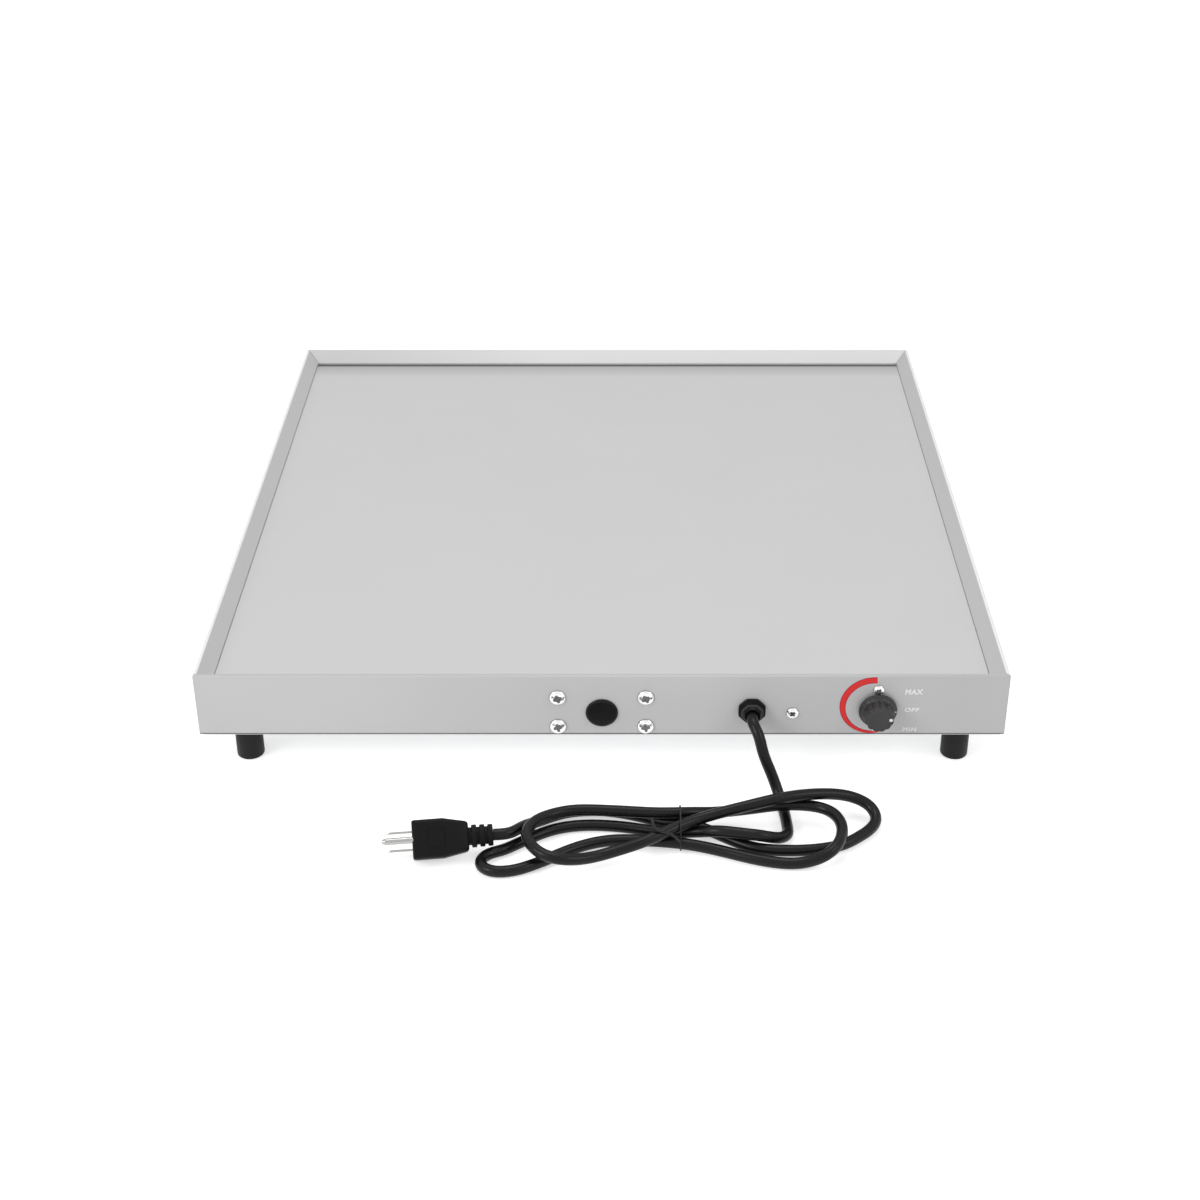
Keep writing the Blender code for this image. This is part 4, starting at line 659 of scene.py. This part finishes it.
SCREW_TURNS = {
    "panel_screw_upper_left": 0.35,
    "panel_screw_lower_left": 0.25,
    "panel_screw_upper_right": 0.55,
    "panel_screw_lower_right": 0.15,
    "ground_screw": 0.70,
    "thermostat_screw_upper": 0.95,
    "thermostat_screw_lower": 0.40,
}


def screws():
    """Every screw on the front panel."""
    for node, turn in SCREW_TURNS.items():
        screw_head(node + "_fine", node, turn)


FOOT_BORE = 0.0062
FOOT_BORE_DEPTH = 0.012
FOOT_HOLE = 0.0029


def feet():
    """The four feet, with rounded rims and the recess for the screw."""
    for end in ("front", "rear"):
        for side in ("left", "right"):
            node = f"foot_{end}_{side}"
            low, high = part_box(node)
            radius = (high.x - low.x) / 2
            top = high.z
            profile = rounded((
                (FOOT_HOLE, top, 0),
                (radius - 0.0002, top, 0.0004),
                (radius, 0.5 * top, 0),
                (radius, 0, 0.0014),
                (FOOT_BORE, 0, 0.0005),
                (FOOT_BORE, FOOT_BORE_DEPTH, 0.0004),
                (FOOT_HOLE, FOOT_BORE_DEPTH, 0),
                (FOOT_HOLE, top, 0),
            ))
            place = Matrix.Translation(((low.x + high.x) / 2, (low.y + high.y) / 2, 0))
            obj = turned(node + "_fine", profile, place, RUBBER)
            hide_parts(node)


HOLE_NECK_SHARE = 0.88


def hole_plug():
    """The blank plug: a shallow dome with a rounded rim."""
    low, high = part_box("hole_plug")
    radius = (high.x - low.x) / 2
    height = FACE_Y - low.y
    neck = HOLE_NECK_SHARE * radius
    profile = rounded((
        (0, height, 0),
        (0.80 * radius, 0.93 * height, 0.004),
        (0.90 * radius, 0.90 * height, 0.001),
        (radius, 0.45 * height, 0.0007),
        (radius, SEAT_GAP, 0.0001),
        (neck, SEAT_GAP, 0),
        (neck, FACE_Y - high.y, 0),
        (0, FACE_Y - high.y, 0),
    ))
    place = Matrix.Translation(((low.x + high.x) / 2, FACE_Y, (low.z + high.z) / 2)) @ OUTWARD
    obj = turned("hole_plug_fine", profile, place, BLACK_PLASTIC, sides=96)
    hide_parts("hole_plug")


GLAND_SIDES = 8
GLAND_SOFTNESS = 0.22
GLAND_NECK = 0.0080
GLAND_MOUTH = CORD_RADIUS + 0.0004
GLAND_MOUTH_DEPTH = 0.0030
GLAND_LIP = 0.0064
NOSE_STEP = 0.0072
NOSE_FRONT = 0.0086
NOSE_FOOT = 0.0091
NOSE_FILLET = 0.0097


def strain_relief():
    """The strain relief: an eight-sided flange, a stepped nose, and the mouth round the cord."""
    eighth = math.tau / GLAND_SIDES
    softness = GLAND_SOFTNESS
    flat = softness + (1 - softness) * math.cos(eighth / 2)
    radius = (GLAND_HIGH.x - GLAND_LOW.x) / 2 / flat
    nose = FACE_Y - GLAND_LOW.y
    flange = nose / 3
    back = FACE_Y - GLAND_HIGH.y
    neck = GLAND_NECK
    mouth = GLAND_MOUTH
    inside = nose - GLAND_MOUTH_DEPTH

    def octagon(reach, height, angle):
        if reach < 0.55 * radius or height < 0:
            return reach
        off = (angle + eighth / 2) % eighth - eighth / 2
        return reach * (softness + (1 - softness) * math.cos(eighth / 2) / math.cos(off))

    profile = rounded((
        (mouth, inside, 0),
        (mouth, nose, 0.0004),
        (GLAND_LIP, nose, 0.0005),
        (NOSE_STEP, nose - 0.0028, 0.0004),
        (NOSE_FRONT, nose - 0.0032, 0.0004),
        (NOSE_FOOT, flange + 0.0004, 0.0004),
        (NOSE_FILLET, flange, 0.0003),
        (radius, flange, 0.0006),
        (radius, SEAT_GAP, 0.0003),
        (neck, SEAT_GAP, 0),
        (neck, back, 0),
        (mouth, back, 0),
        (mouth, inside, 0),
    ))
    place = Matrix.Translation((GLAND_X, FACE_Y, GLAND_Z)) @ OUTWARD
    obj = turned("strain_relief_fine", profile, place, GLAND_PLASTIC, sides=96, shape=octagon)
    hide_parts("strain_relief")
    return obj


FLUTES = 12
SKIRT_DEPTH = 0.0024
GRIP_RADIUS = 0.0113
GRIP_TOP = 0.0109
SCALLOP = 0.0010
SCALLOP_RISE = 0.0012
SHAFT_BORE = 0.0034
TICK_SIZE = (0.0016, 0.0007, 0.00012)
TICK_INSET = 0.0015


def knob():
    """The knob with its skirt and scalloped grip, its tick and its pointer dot."""
    radius = (KNOB_HIGH.x - KNOB_LOW.x) / 2
    depth = KNOB_HIGH.y - KNOB_LOW.y
    skirt = SKIRT_DEPTH
    grip = GRIP_RADIUS
    top = GRIP_TOP

    def scalloped(reach, height, angle):
        if height < skirt + 0.0002 or reach < 0.6 * grip:
            return reach
        rise = min(1.0, (height - skirt) / SCALLOP_RISE)
        fade = min(1.0, max(0.0, (reach / grip - 0.6) / 0.25))
        wave = abs(math.sin(FLUTES * angle / 2)) ** 0.8
        return reach - SCALLOP * rise * fade * (1 - wave)

    heights = [skirt + 0.0014 + i * (depth - skirt - 0.0024) / 5 for i in range(6)]
    sides = [(grip + (top - grip) * (h - skirt) / (depth - skirt), h, 0) for h in heights]
    profile = rounded((
        (SHAFT_BORE, 0, 0),
        (radius - 0.0004, 0, 0.0002),
        (radius, 0.0008, 0.0004),
        (radius - 0.0003, skirt - 0.0004, 0.0005),
        (grip + 0.0012, skirt + 0.0001, 0.0004),
        *sides,
        (top - 0.0002, depth, 0.0009),
        (0.86 * top, depth, 0.0004),
        (0.80 * top, depth - 0.00025, 0.0006),
        (0.40 * top, depth - 0.00020, 0),
        (0, depth - 0.00020, 0),
    ))
    place = Matrix.Translation((KNOB_X, KNOB_HIGH.y, KNOB_Z)) @ OUTWARD
    obj = turned("knob_fine", profile, place, KNOB_PLASTIC, "knob", 240, scalloped, 50.0)
    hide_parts("control_knob")

    low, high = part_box("knob_pointer")
    dot = (high.x - low.x) / 2
    dot_x = (low.x + high.x) / 2
    place = Matrix.Translation((dot_x, low.y, (low.z + high.z) / 2)) @ OUTWARD
    back = low.y - high.y
    profile = rounded(((0, 0.0001, 0), (dot, 0.0001, 0.0002), (dot, back, 0), (0, back, 0)))
    obj = turned("knob_dot", profile, place, WHITE_PAINT, "knob", 32)
    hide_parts("knob_pointer")

    corners = rounded_rectangle(TICK_SIZE[0], TICK_SIZE[1], 0.0002, 3)
    front = KNOB_HIGH.y - skirt - 0.00002
    sections = []
    for level in (front, front - TICK_SIZE[2]):
        sections.append([(KNOB_X + radius - TICK_INSET + x, level, KNOB_Z + z) for x, z in corners])
    mesh = lofted_mesh("skirt_tick", sections)
    obj = mesh_object("skirt_tick", mesh, WHITE_PAINT, "knob")


PRINT_DEPTH = 0.00006
ARC_OUTER = 0.0252
ARC_INNER = 0.0213
ARC_CENTRE = (-0.0035, 0.0028)
ARC_INNER_SHIFT = (0.0007, -0.0014)
ARC_START = math.radians(86)
ARC_FADE = math.radians(262)
ARC_END = math.radians(312)
ARC_STEPS = 120
ARC_EDGE = 0.0005
EDGE_LEVEL = 0.00001
ARC_LEVEL = 0.00003
WORDS = (
    ("MAX", 0.0196, 0.0150, 0.0139, 0.0049, 0.055, WHITE_PAINT),
    ("OFF", 0.0205, -0.0011, 0.0112, 0.0038, 0.045, WHITE_PAINT),
    ("MIN", 0.0199, -0.0188, 0.0110, 0.0038, 0.045, FAINT_PAINT),
)


def crescent(inner_radius, outer_radius, inner_shift):
    """The points of the dial's arc, which thins towards its low end, on the face."""
    outer = []
    inner = []
    for i in range(ARC_STEPS + 1):
        angle = ARC_START + (ARC_END - ARC_START) * i / ARC_STEPS
        direction = Vector((math.cos(angle), math.sin(angle)))
        far = direction * outer_radius
        near = Vector(inner_shift) + direction * inner_radius
        fade = max(0.0, (angle - ARC_FADE) / (ARC_END - ARC_FADE))
        middle = (far + near) / 2
        outer.append(far.lerp(middle, fade))
        inner.append(near.lerp(middle, fade))
    return outer, inner


def printed(name, outer, inner, centre, level, material):
    """A thin layer of print between two lines on the front face."""
    verts = []
    for depth in (0, PRINT_DEPTH):
        for line in (outer, inner):
            for point in line:
                verts.append((centre[0] + point[0], FACE_Y - level - depth, centre[1] + point[1]))
    count = len(outer)
    faces = []
    for i in range(count - 1):
        a, b = i, i + 1
        faces.append((a, b, b + count, a + count))
        faces.append((2 * count + a, 3 * count + a, 3 * count + b, 2 * count + b))
        faces.append((a, 2 * count + a, 2 * count + b, b))
        faces.append((count + a, count + b, 3 * count + b, 3 * count + a))
    for a in (0, count - 1):
        faces.append((a, count + a, 3 * count + a, 2 * count + a))
    obj = grid_object(name, verts, faces, material)
    return obj


def dial_print():
    """The red arc and the three words beside the knob."""
    centre = (KNOB_X + ARC_CENTRE[0], KNOB_Z + ARC_CENTRE[1])
    outer, inner = crescent(ARC_INNER, ARC_OUTER, ARC_INNER_SHIFT)
    printed("dial_arc_edge", outer, inner, centre, EDGE_LEVEL, RED_EDGE)
    outer, inner = crescent(ARC_INNER + ARC_EDGE, ARC_OUTER - ARC_EDGE, ARC_INNER_SHIFT)
    printed("dial_arc", outer, inner, centre, ARC_LEVEL, RED_PAINT)
    for word, left, middle, width, height, bold, material in WORDS:
        place = (KNOB_X + left, KNOB_Z + middle)
        label("dial_word_" + word.lower(), word, place, width, height, bold, material)


def label(name, word, place, width, height, bold, material):
    """A word in a plain face made bold, stretched to a width and a capital height."""
    curve = bpy.data.curves.new(name, "FONT")
    curve.body = word
    curve.extrude = 0.01
    curve.bevel_depth = bold
    curve.bevel_resolution = 0
    curve.space_character = 1.15
    curve.shear = 0.12
    curve.resolution_u = 6
    text = bpy.data.objects.new(name, curve)
    bpy.context.scene.collection.objects.link(text)
    bpy.context.view_layer.update()
    graph = bpy.context.evaluated_depsgraph_get()
    mesh = bpy.data.meshes.new_from_object(text.evaluated_get(graph))
    bpy.data.objects.remove(text, do_unlink=True)
    points = np.array([v.co for v in mesh.vertices])
    low, high = points.min(axis=0), points.max(axis=0)
    across = width / (high[0] - low[0])
    up = height / (high[1] - low[1])
    thin = PRINT_DEPTH / (high[2] - low[2])
    for vertex in mesh.vertices:
        x = place[0] + (vertex.co.x - low[0]) * across
        z = place[1] + (vertex.co.y - (low[1] + high[1]) / 2) * up
        y = FACE_Y - EDGE_LEVEL - (vertex.co.z - low[2]) * thin
        vertex.co = (x, y, z)
    obj = mesh_object(name, mesh, material)
    return obj


TIE_RADIUS = 0.0006
TIE_GAP = 0.0004
TAIL_ROUTE = (
    (-0.0562, -0.1080, 0.0118),
    (-0.0590, -0.1090, 0.0160),
    (-0.0645, -0.1085, 0.0197),
    (-0.0725, -0.1075, 0.0213),
    (-0.0752, -0.1030, 0.0224),
    (-0.0762, -0.0950, 0.0232),
)
TAIL_PITCH = 0.0034
TAIL_POINTS = 90


def tie_tail():
    """The tie's two ends, twisted round each other."""
    middle = [in_front(point) for point in smooth_route(TAIL_ROUTE, TAIL_POINTS)]
    run = 0.0
    lines = ([], [])
    for i, point in enumerate(middle):
        ahead = middle[min(i + 1, TAIL_POINTS - 1)] - middle[max(i - 1, 0)]
        side = ahead.cross(Vector((0, 0, 1))).normalized()
        over = side.cross(ahead).normalized()
        if i:
            run += (point - middle[i - 1]).length
        for line, start in zip(lines, (0, math.pi)):
            angle = start + math.tau * run / TAIL_PITCH
            line.append(point + TIE_RADIUS * (side * math.cos(angle) + over * math.sin(angle)))
    tails = []
    for name, line in zip(("tie_end_long", "tie_end_short"), (lines[0], lines[1][:-6])):
        tail = tube(name, line, TIE_RADIUS, TIE_PLASTIC, resolution=3)
        tails.append(tail)
    return tails


def tie(points):
    """The twist tie: a wire round the crossing strands, its ends twisted together."""
    plane = GLAND_X + TIE_FROM_GLAND
    strands = []
    for before, after in zip(points, points[1:]):
        if (before.x - plane) * (after.x - plane) <= 0:
            strands.append(np.array((before.y, before.z)))
    reach = CORD_RADIUS + TIE_GAP + TIE_RADIUS
    loop = []
    count = 96
    for i in range(count):
        angle = math.tau * i / count
        normal = np.array((math.cos(angle), math.sin(angle)))
        outermost = max(strands, key=lambda strand: float(strand @ normal))
        y, z = outermost + reach * normal
        loop.append((plane, y, z))
    obj = tube("tie_loop", loop, TIE_RADIUS, TIE_PLASTIC, resolution=3, cyclic=True)
    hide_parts("twist_tie")
    return [obj, *tie_tail()]


PLUG_FRAME = Matrix((
    (0, 0, 1),
    (math.cos(PLUG_ROLL), -math.sin(PLUG_ROLL), 0),
    (math.sin(PLUG_ROLL), math.cos(PLUG_ROLL), 0),
)).to_4x4()
PLUG_LENGTH = 0.040
PLUG_WIDTH = 0.028
PLUG_THICKNESS = 0.020
PLUG_BACK_WIDTH = 0.021
PLUG_BACK_THICKNESS = 0.0165
PLUG_ROUND = 0.0032
BLADE_SPREAD = 0.0127
BLADES_FROM_MIDDLE = 0.0045
BLADE_THICKNESS = 0.0015
BLADE_WIDTH = 0.0063
BLADE_LENGTH = 0.0185
BLADE_ROOT = 0.008
PIN_OFFSET = 0.0119
PIN_RADIUS = 0.0024
PIN_LENGTH = 0.0215
TAPER_START = 0.55
BLADE_ROUND = 0.00025
RELIEF_RADIUS = 0.0082
RELIEF_GROOVE = 0.0018
RELIEF_RIB = 0.0036
RELIEF_GAP = 0.0022
RELIEF_RIBS = 3


def plug_place():
    """Where the plug's front face lies, with local Z towards the cord."""
    relief = RELIEF_RIBS * (RELIEF_RIB + RELIEF_GAP)
    turn = Matrix.Rotation(PLUG_YAW, 4, "Z")
    front = plug_meeting() - turn @ Vector((CORD_SLACK + relief + PLUG_LENGTH, 0, 0))
    return Matrix.Translation(in_front(front)) @ turn @ PLUG_FRAME


FRAME_START = 0.0105
FRAME_END = 0.0235
FRAME_WIDTH = 0.0150
FRAME_BAR = 0.0011
FRAME_HEIGHT = 0.0004


def plug_frames(place):
    """The raised frames moulded on the plug's two flat sides."""
    frames = []
    middle = (FRAME_START + FRAME_END) / 2
    long = FRAME_END - FRAME_START
    for name, side in (("plug_frame_upper", 1), ("plug_frame_lower", -1)):
        lines = []
        for inset, height in ((0, 0), (0.0002, 1), (FRAME_BAR - 0.0002, 1), (FRAME_BAR, 0)):
            outline = rounded_rectangle(long - 2 * inset, FRAME_WIDTH - 2 * inset, 0.0016 - inset)
            y = side * (PLUG_THICKNESS / 2 + height * FRAME_HEIGHT - 0.0001)
            lines.append([place @ Vector((x, y, middle + z)) for z, x in outline])
        count = len(lines[0])
        faces = []
        for level in range(3):
            for i in range(count):
                j = (i + 1) % count
                low = level * count
                faces.append((low + i, low + j, low + count + j, low + count + i))
        obj = grid_object(name, [point for line in lines for point in line], faces, PLUG_PLASTIC)
        frames.append(obj)
    return frames


def plug():
    """The plug: its body, its ribbed relief, two blades and the ground pin."""
    place = plug_place()
    levels = (
        (0.0, -0.0012), (0.0006, -0.0003), (0.0018, 0.0), (0.010, 0.0), (TAPER_START * PLUG_LENGTH, 0.0),
        (0.62 * PLUG_LENGTH, 0.0), (0.80 * PLUG_LENGTH, 0.0), (0.955 * PLUG_LENGTH, 0.0),
        (0.985 * PLUG_LENGTH, -0.0005), (PLUG_LENGTH, -0.0016),
    )
    sections = []
    for height, inset in levels:
        share = min(1.0, max(0.0, (height / PLUG_LENGTH - TAPER_START) / (1 - TAPER_START)))
        width = PLUG_WIDTH + (PLUG_BACK_WIDTH - PLUG_WIDTH) * share + 2 * inset
        thick = PLUG_THICKNESS + (PLUG_BACK_THICKNESS - PLUG_THICKNESS) * share + 2 * inset
        outline = rounded_rectangle(width, thick, PLUG_ROUND + inset)
        sections.append([place @ Vector((x, y, height)) for x, y in outline])
    body = mesh_object("plug_body_fine", lofted_mesh("plug_body_fine", sections), PLUG_PLASTIC, sharp=40)
    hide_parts("plug_body")

    groove = RELIEF_RADIUS - RELIEF_GROOVE
    corners = [(0, PLUG_LENGTH - 0.003, 0), (groove, PLUG_LENGTH - 0.003, 0)]
    for i in range(RELIEF_RIBS):
        foot = PLUG_LENGTH + i * (RELIEF_RIB + RELIEF_GAP) + RELIEF_GAP
        reach = RELIEF_RADIUS - 0.0002 * i
        corners.append((groove, foot, 0.0004))
        corners.append((reach, foot, 0.0006))
        corners.append((reach, foot + RELIEF_RIB, 0.0006))
        corners.append((groove, foot + RELIEF_RIB, 0.0003))
    end = PLUG_LENGTH + RELIEF_RIBS * (RELIEF_RIB + RELIEF_GAP)
    corners[-1] = (CORD_RADIUS + 0.0006, end, 0.0003)
    corners.append((CORD_RADIUS + 0.0001, end - 0.001, 0))
    corners.append((0, end - 0.001, 0))
    relief = turned("plug_relief_fine", rounded(corners), place, PLUG_PLASTIC, sides=64)

    pieces = [body, relief, *plug_frames(place)]
    for node, side in (("plug_blade_near", -1), ("plug_blade_far", 1)):
        outline = rounded_rectangle(BLADE_WIDTH, BLADE_THICKNESS, BLADE_ROUND, 3)
        sections = []
        for height, share, thin in ((BLADE_ROOT, 1, 1), (-BLADE_LENGTH + 0.0030, 1, 1),
                                    (-BLADE_LENGTH + 0.0010, 0.86, 0.9), (-BLADE_LENGTH, 0.66, 0.5)):
            ring = []
            for across, through in outline:
                x = side * BLADE_SPREAD / 2 + through * thin
                y = -BLADES_FROM_MIDDLE + across * share
                ring.append(place @ Vector((x, y, height)))
            sections.append(ring)
        blade = mesh_object(node + "_fine", lofted_mesh(node, sections), BLADE_METAL)
        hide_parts(node)
        pieces.append(blade)
    profile = rounded((
        (0, -PIN_LENGTH, 0),
        (0.55 * PIN_RADIUS, -PIN_LENGTH + 0.0002, 0.0006),
        (PIN_RADIUS, -PIN_LENGTH + 0.0022, 0.0020),
        (PIN_RADIUS, BLADE_ROOT, 0),
        (0, BLADE_ROOT, 0),
    ), 8)
    pin_place = place @ Matrix.Translation((0, PIN_OFFSET - BLADES_FROM_MIDDLE, 0))
    pin = turned("plug_ground_pin_fine", profile, pin_place, BLADE_METAL, sides=40)
    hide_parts("plug_ground_pin")
    pieces.append(pin)
    return pieces


def node_materials():
    """A finish for each node that keeps its own shape."""
    finishes = {
        "front_panel": FRONT_STEEL,
        "rear_panel": REAR_STEEL,
        "left_side_panel": SIDE_STEEL,
        "right_side_panel": SIDE_STEEL,
        "heated_plate": PLATE_GREY,
        "bottom_cover": COVER_STEEL,
        "heating_element": ELEMENT_STEEL,
        "insulation_blanket": WOOL,
        "capillary_tube": COPPER,
        "sensor_bulb": COPPER,
        "strain_relief_nut": BLACK_PLASTIC,
        "cord_tail": CORD_RUBBER,
        "terminal_block": CERAMIC,
        "limit_thermostat": DARK_PLASTIC,
        "thermostat_body": DARK_PLASTIC,
        "wire_element_live": WIRE_RED,
        "wire_live": WIRE_RED,
        "wire_element_neutral": WIRE_WHITE,
        "wire_limit": WIRE_WHITE,
        "wire_ground": WIRE_GREEN,
    }
    for name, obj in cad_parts.items():
        material = finishes.get(name, ZINC)
        obj.data.materials.clear()
        obj.data.materials.append(material)


FLOOR_WHITE = (0.90, 0.90, 0.90, 1.0)
FLOOR_REACH = 14.0
FLOOR_DROP = 0.0002
FLOOR_GLOW = 0.56
WORLD_LIGHT = 0.48
LAMP_SIZE = 1.3
LAMP_AIM = Vector((0, 0, 0.05))
LAMPS = (
    ("key", (-1.9, -1.6, 1.6), 25.0),
    ("fill", (1.9, -1.2, 1.8), 11.0),
    ("top", (0.0, 0.5, 2.8), 15.0),
)


def floor():
    """A plain white floor that keeps the shelf's shadow, and is clear from below."""
    graph = Graph("floor_white")
    graph.set("Base Color", FLOOR_WHITE)
    graph.set("Roughness", 0.9)
    graph.set("Specular IOR Level", 0.1)
    path = graph.node("ShaderNodeLightPath")
    seen = graph.node("ShaderNodeMath")
    seen.operation = "MAXIMUM"
    graph.link(path.outputs["Is Camera Ray"], seen.inputs[0])
    graph.link(path.outputs["Is Glossy Ray"], seen.inputs[1])
    strength = graph.node("ShaderNodeMath")
    strength.operation = "MULTIPLY"
    graph.link(seen.outputs[0], strength.inputs[0])
    strength.inputs[1].default_value = FLOOR_GLOW
    graph.set("Emission Color", (1, 1, 1, 1))
    graph.link(strength.outputs[0], graph.shader.inputs["Emission Strength"])
    side = graph.node("ShaderNodeNewGeometry")
    clear = graph.node("ShaderNodeBsdfTransparent")
    either = graph.node("ShaderNodeMixShader")
    graph.link(side.outputs["Backfacing"], either.inputs[0])
    graph.link(graph.shader.outputs[0], either.inputs[1])
    graph.link(clear.outputs[0], either.inputs[2])
    graph.link(either.outputs[0], graph.tree.nodes["Material Output"].inputs["Surface"])
    mesh = bpy.data.meshes.new("floor")
    reach = FLOOR_REACH
    corners = ((-reach, -reach, 0), (reach, -reach, 0), (reach, reach, 0), (-reach, reach, 0))
    mesh.from_pydata(corners, [], [(0, 1, 2, 3)])
    mesh.materials.append(graph.material)
    obj = bpy.data.objects.new("floor", mesh)
    obj.location = (0, 0, -FLOOR_DROP)
    bpy.context.scene.collection.objects.link(obj)


def lights():
    """Soft lamps round the shelf and a white world."""
    for name, place, power in LAMPS:
        data = bpy.data.lights.new(name, "AREA")
        data.shape = "DISK"
        data.size = LAMP_SIZE
        data.energy = power
        obj = bpy.data.objects.new(name, data)
        obj.location = place
        obj.rotation_euler = (LAMP_AIM - Vector(place)).to_track_quat("-Z", "Y").to_euler()
        bpy.context.scene.collection.objects.link(obj)
    world = bpy.data.worlds.new("studio")
    bpy.context.scene.world = world
    world.use_nodes = True
    tree = world.node_tree
    background = tree.nodes["Background"]
    background.inputs["Color"].default_value = (1, 1, 1, 1)
    path = tree.nodes.new("ShaderNodeLightPath")
    seen = tree.nodes.new("ShaderNodeMath")
    seen.operation = "MAXIMUM"
    tree.links.new(path.outputs["Is Camera Ray"], seen.inputs[0])
    glossy = tree.nodes.new("ShaderNodeMath")
    glossy.operation = "MAXIMUM"
    tree.links.new(path.outputs["Is Glossy Ray"], glossy.inputs[0])
    tree.links.new(path.outputs["Is Transmission Ray"], glossy.inputs[1])
    tree.links.new(glossy.outputs[0], seen.inputs[1])
    strength = tree.nodes.new("ShaderNodeMapRange")
    strength.inputs["To Min"].default_value = WORLD_LIGHT
    strength.inputs["To Max"].default_value = 1.0
    tree.links.new(seen.outputs[0], strength.inputs["Value"])
    tree.links.new(strength.outputs["Result"], background.inputs["Strength"])


bpy.context.scene.view_settings.view_transform = "Standard"
camera()
cord_piece, cord_line = cord()
plug_pieces = plug()
tie_pieces = tie(cord_line)
node_materials()
screws()
feet()
hole_plug()
strain_relief()
knob()
dial_print()
floor()
lights()
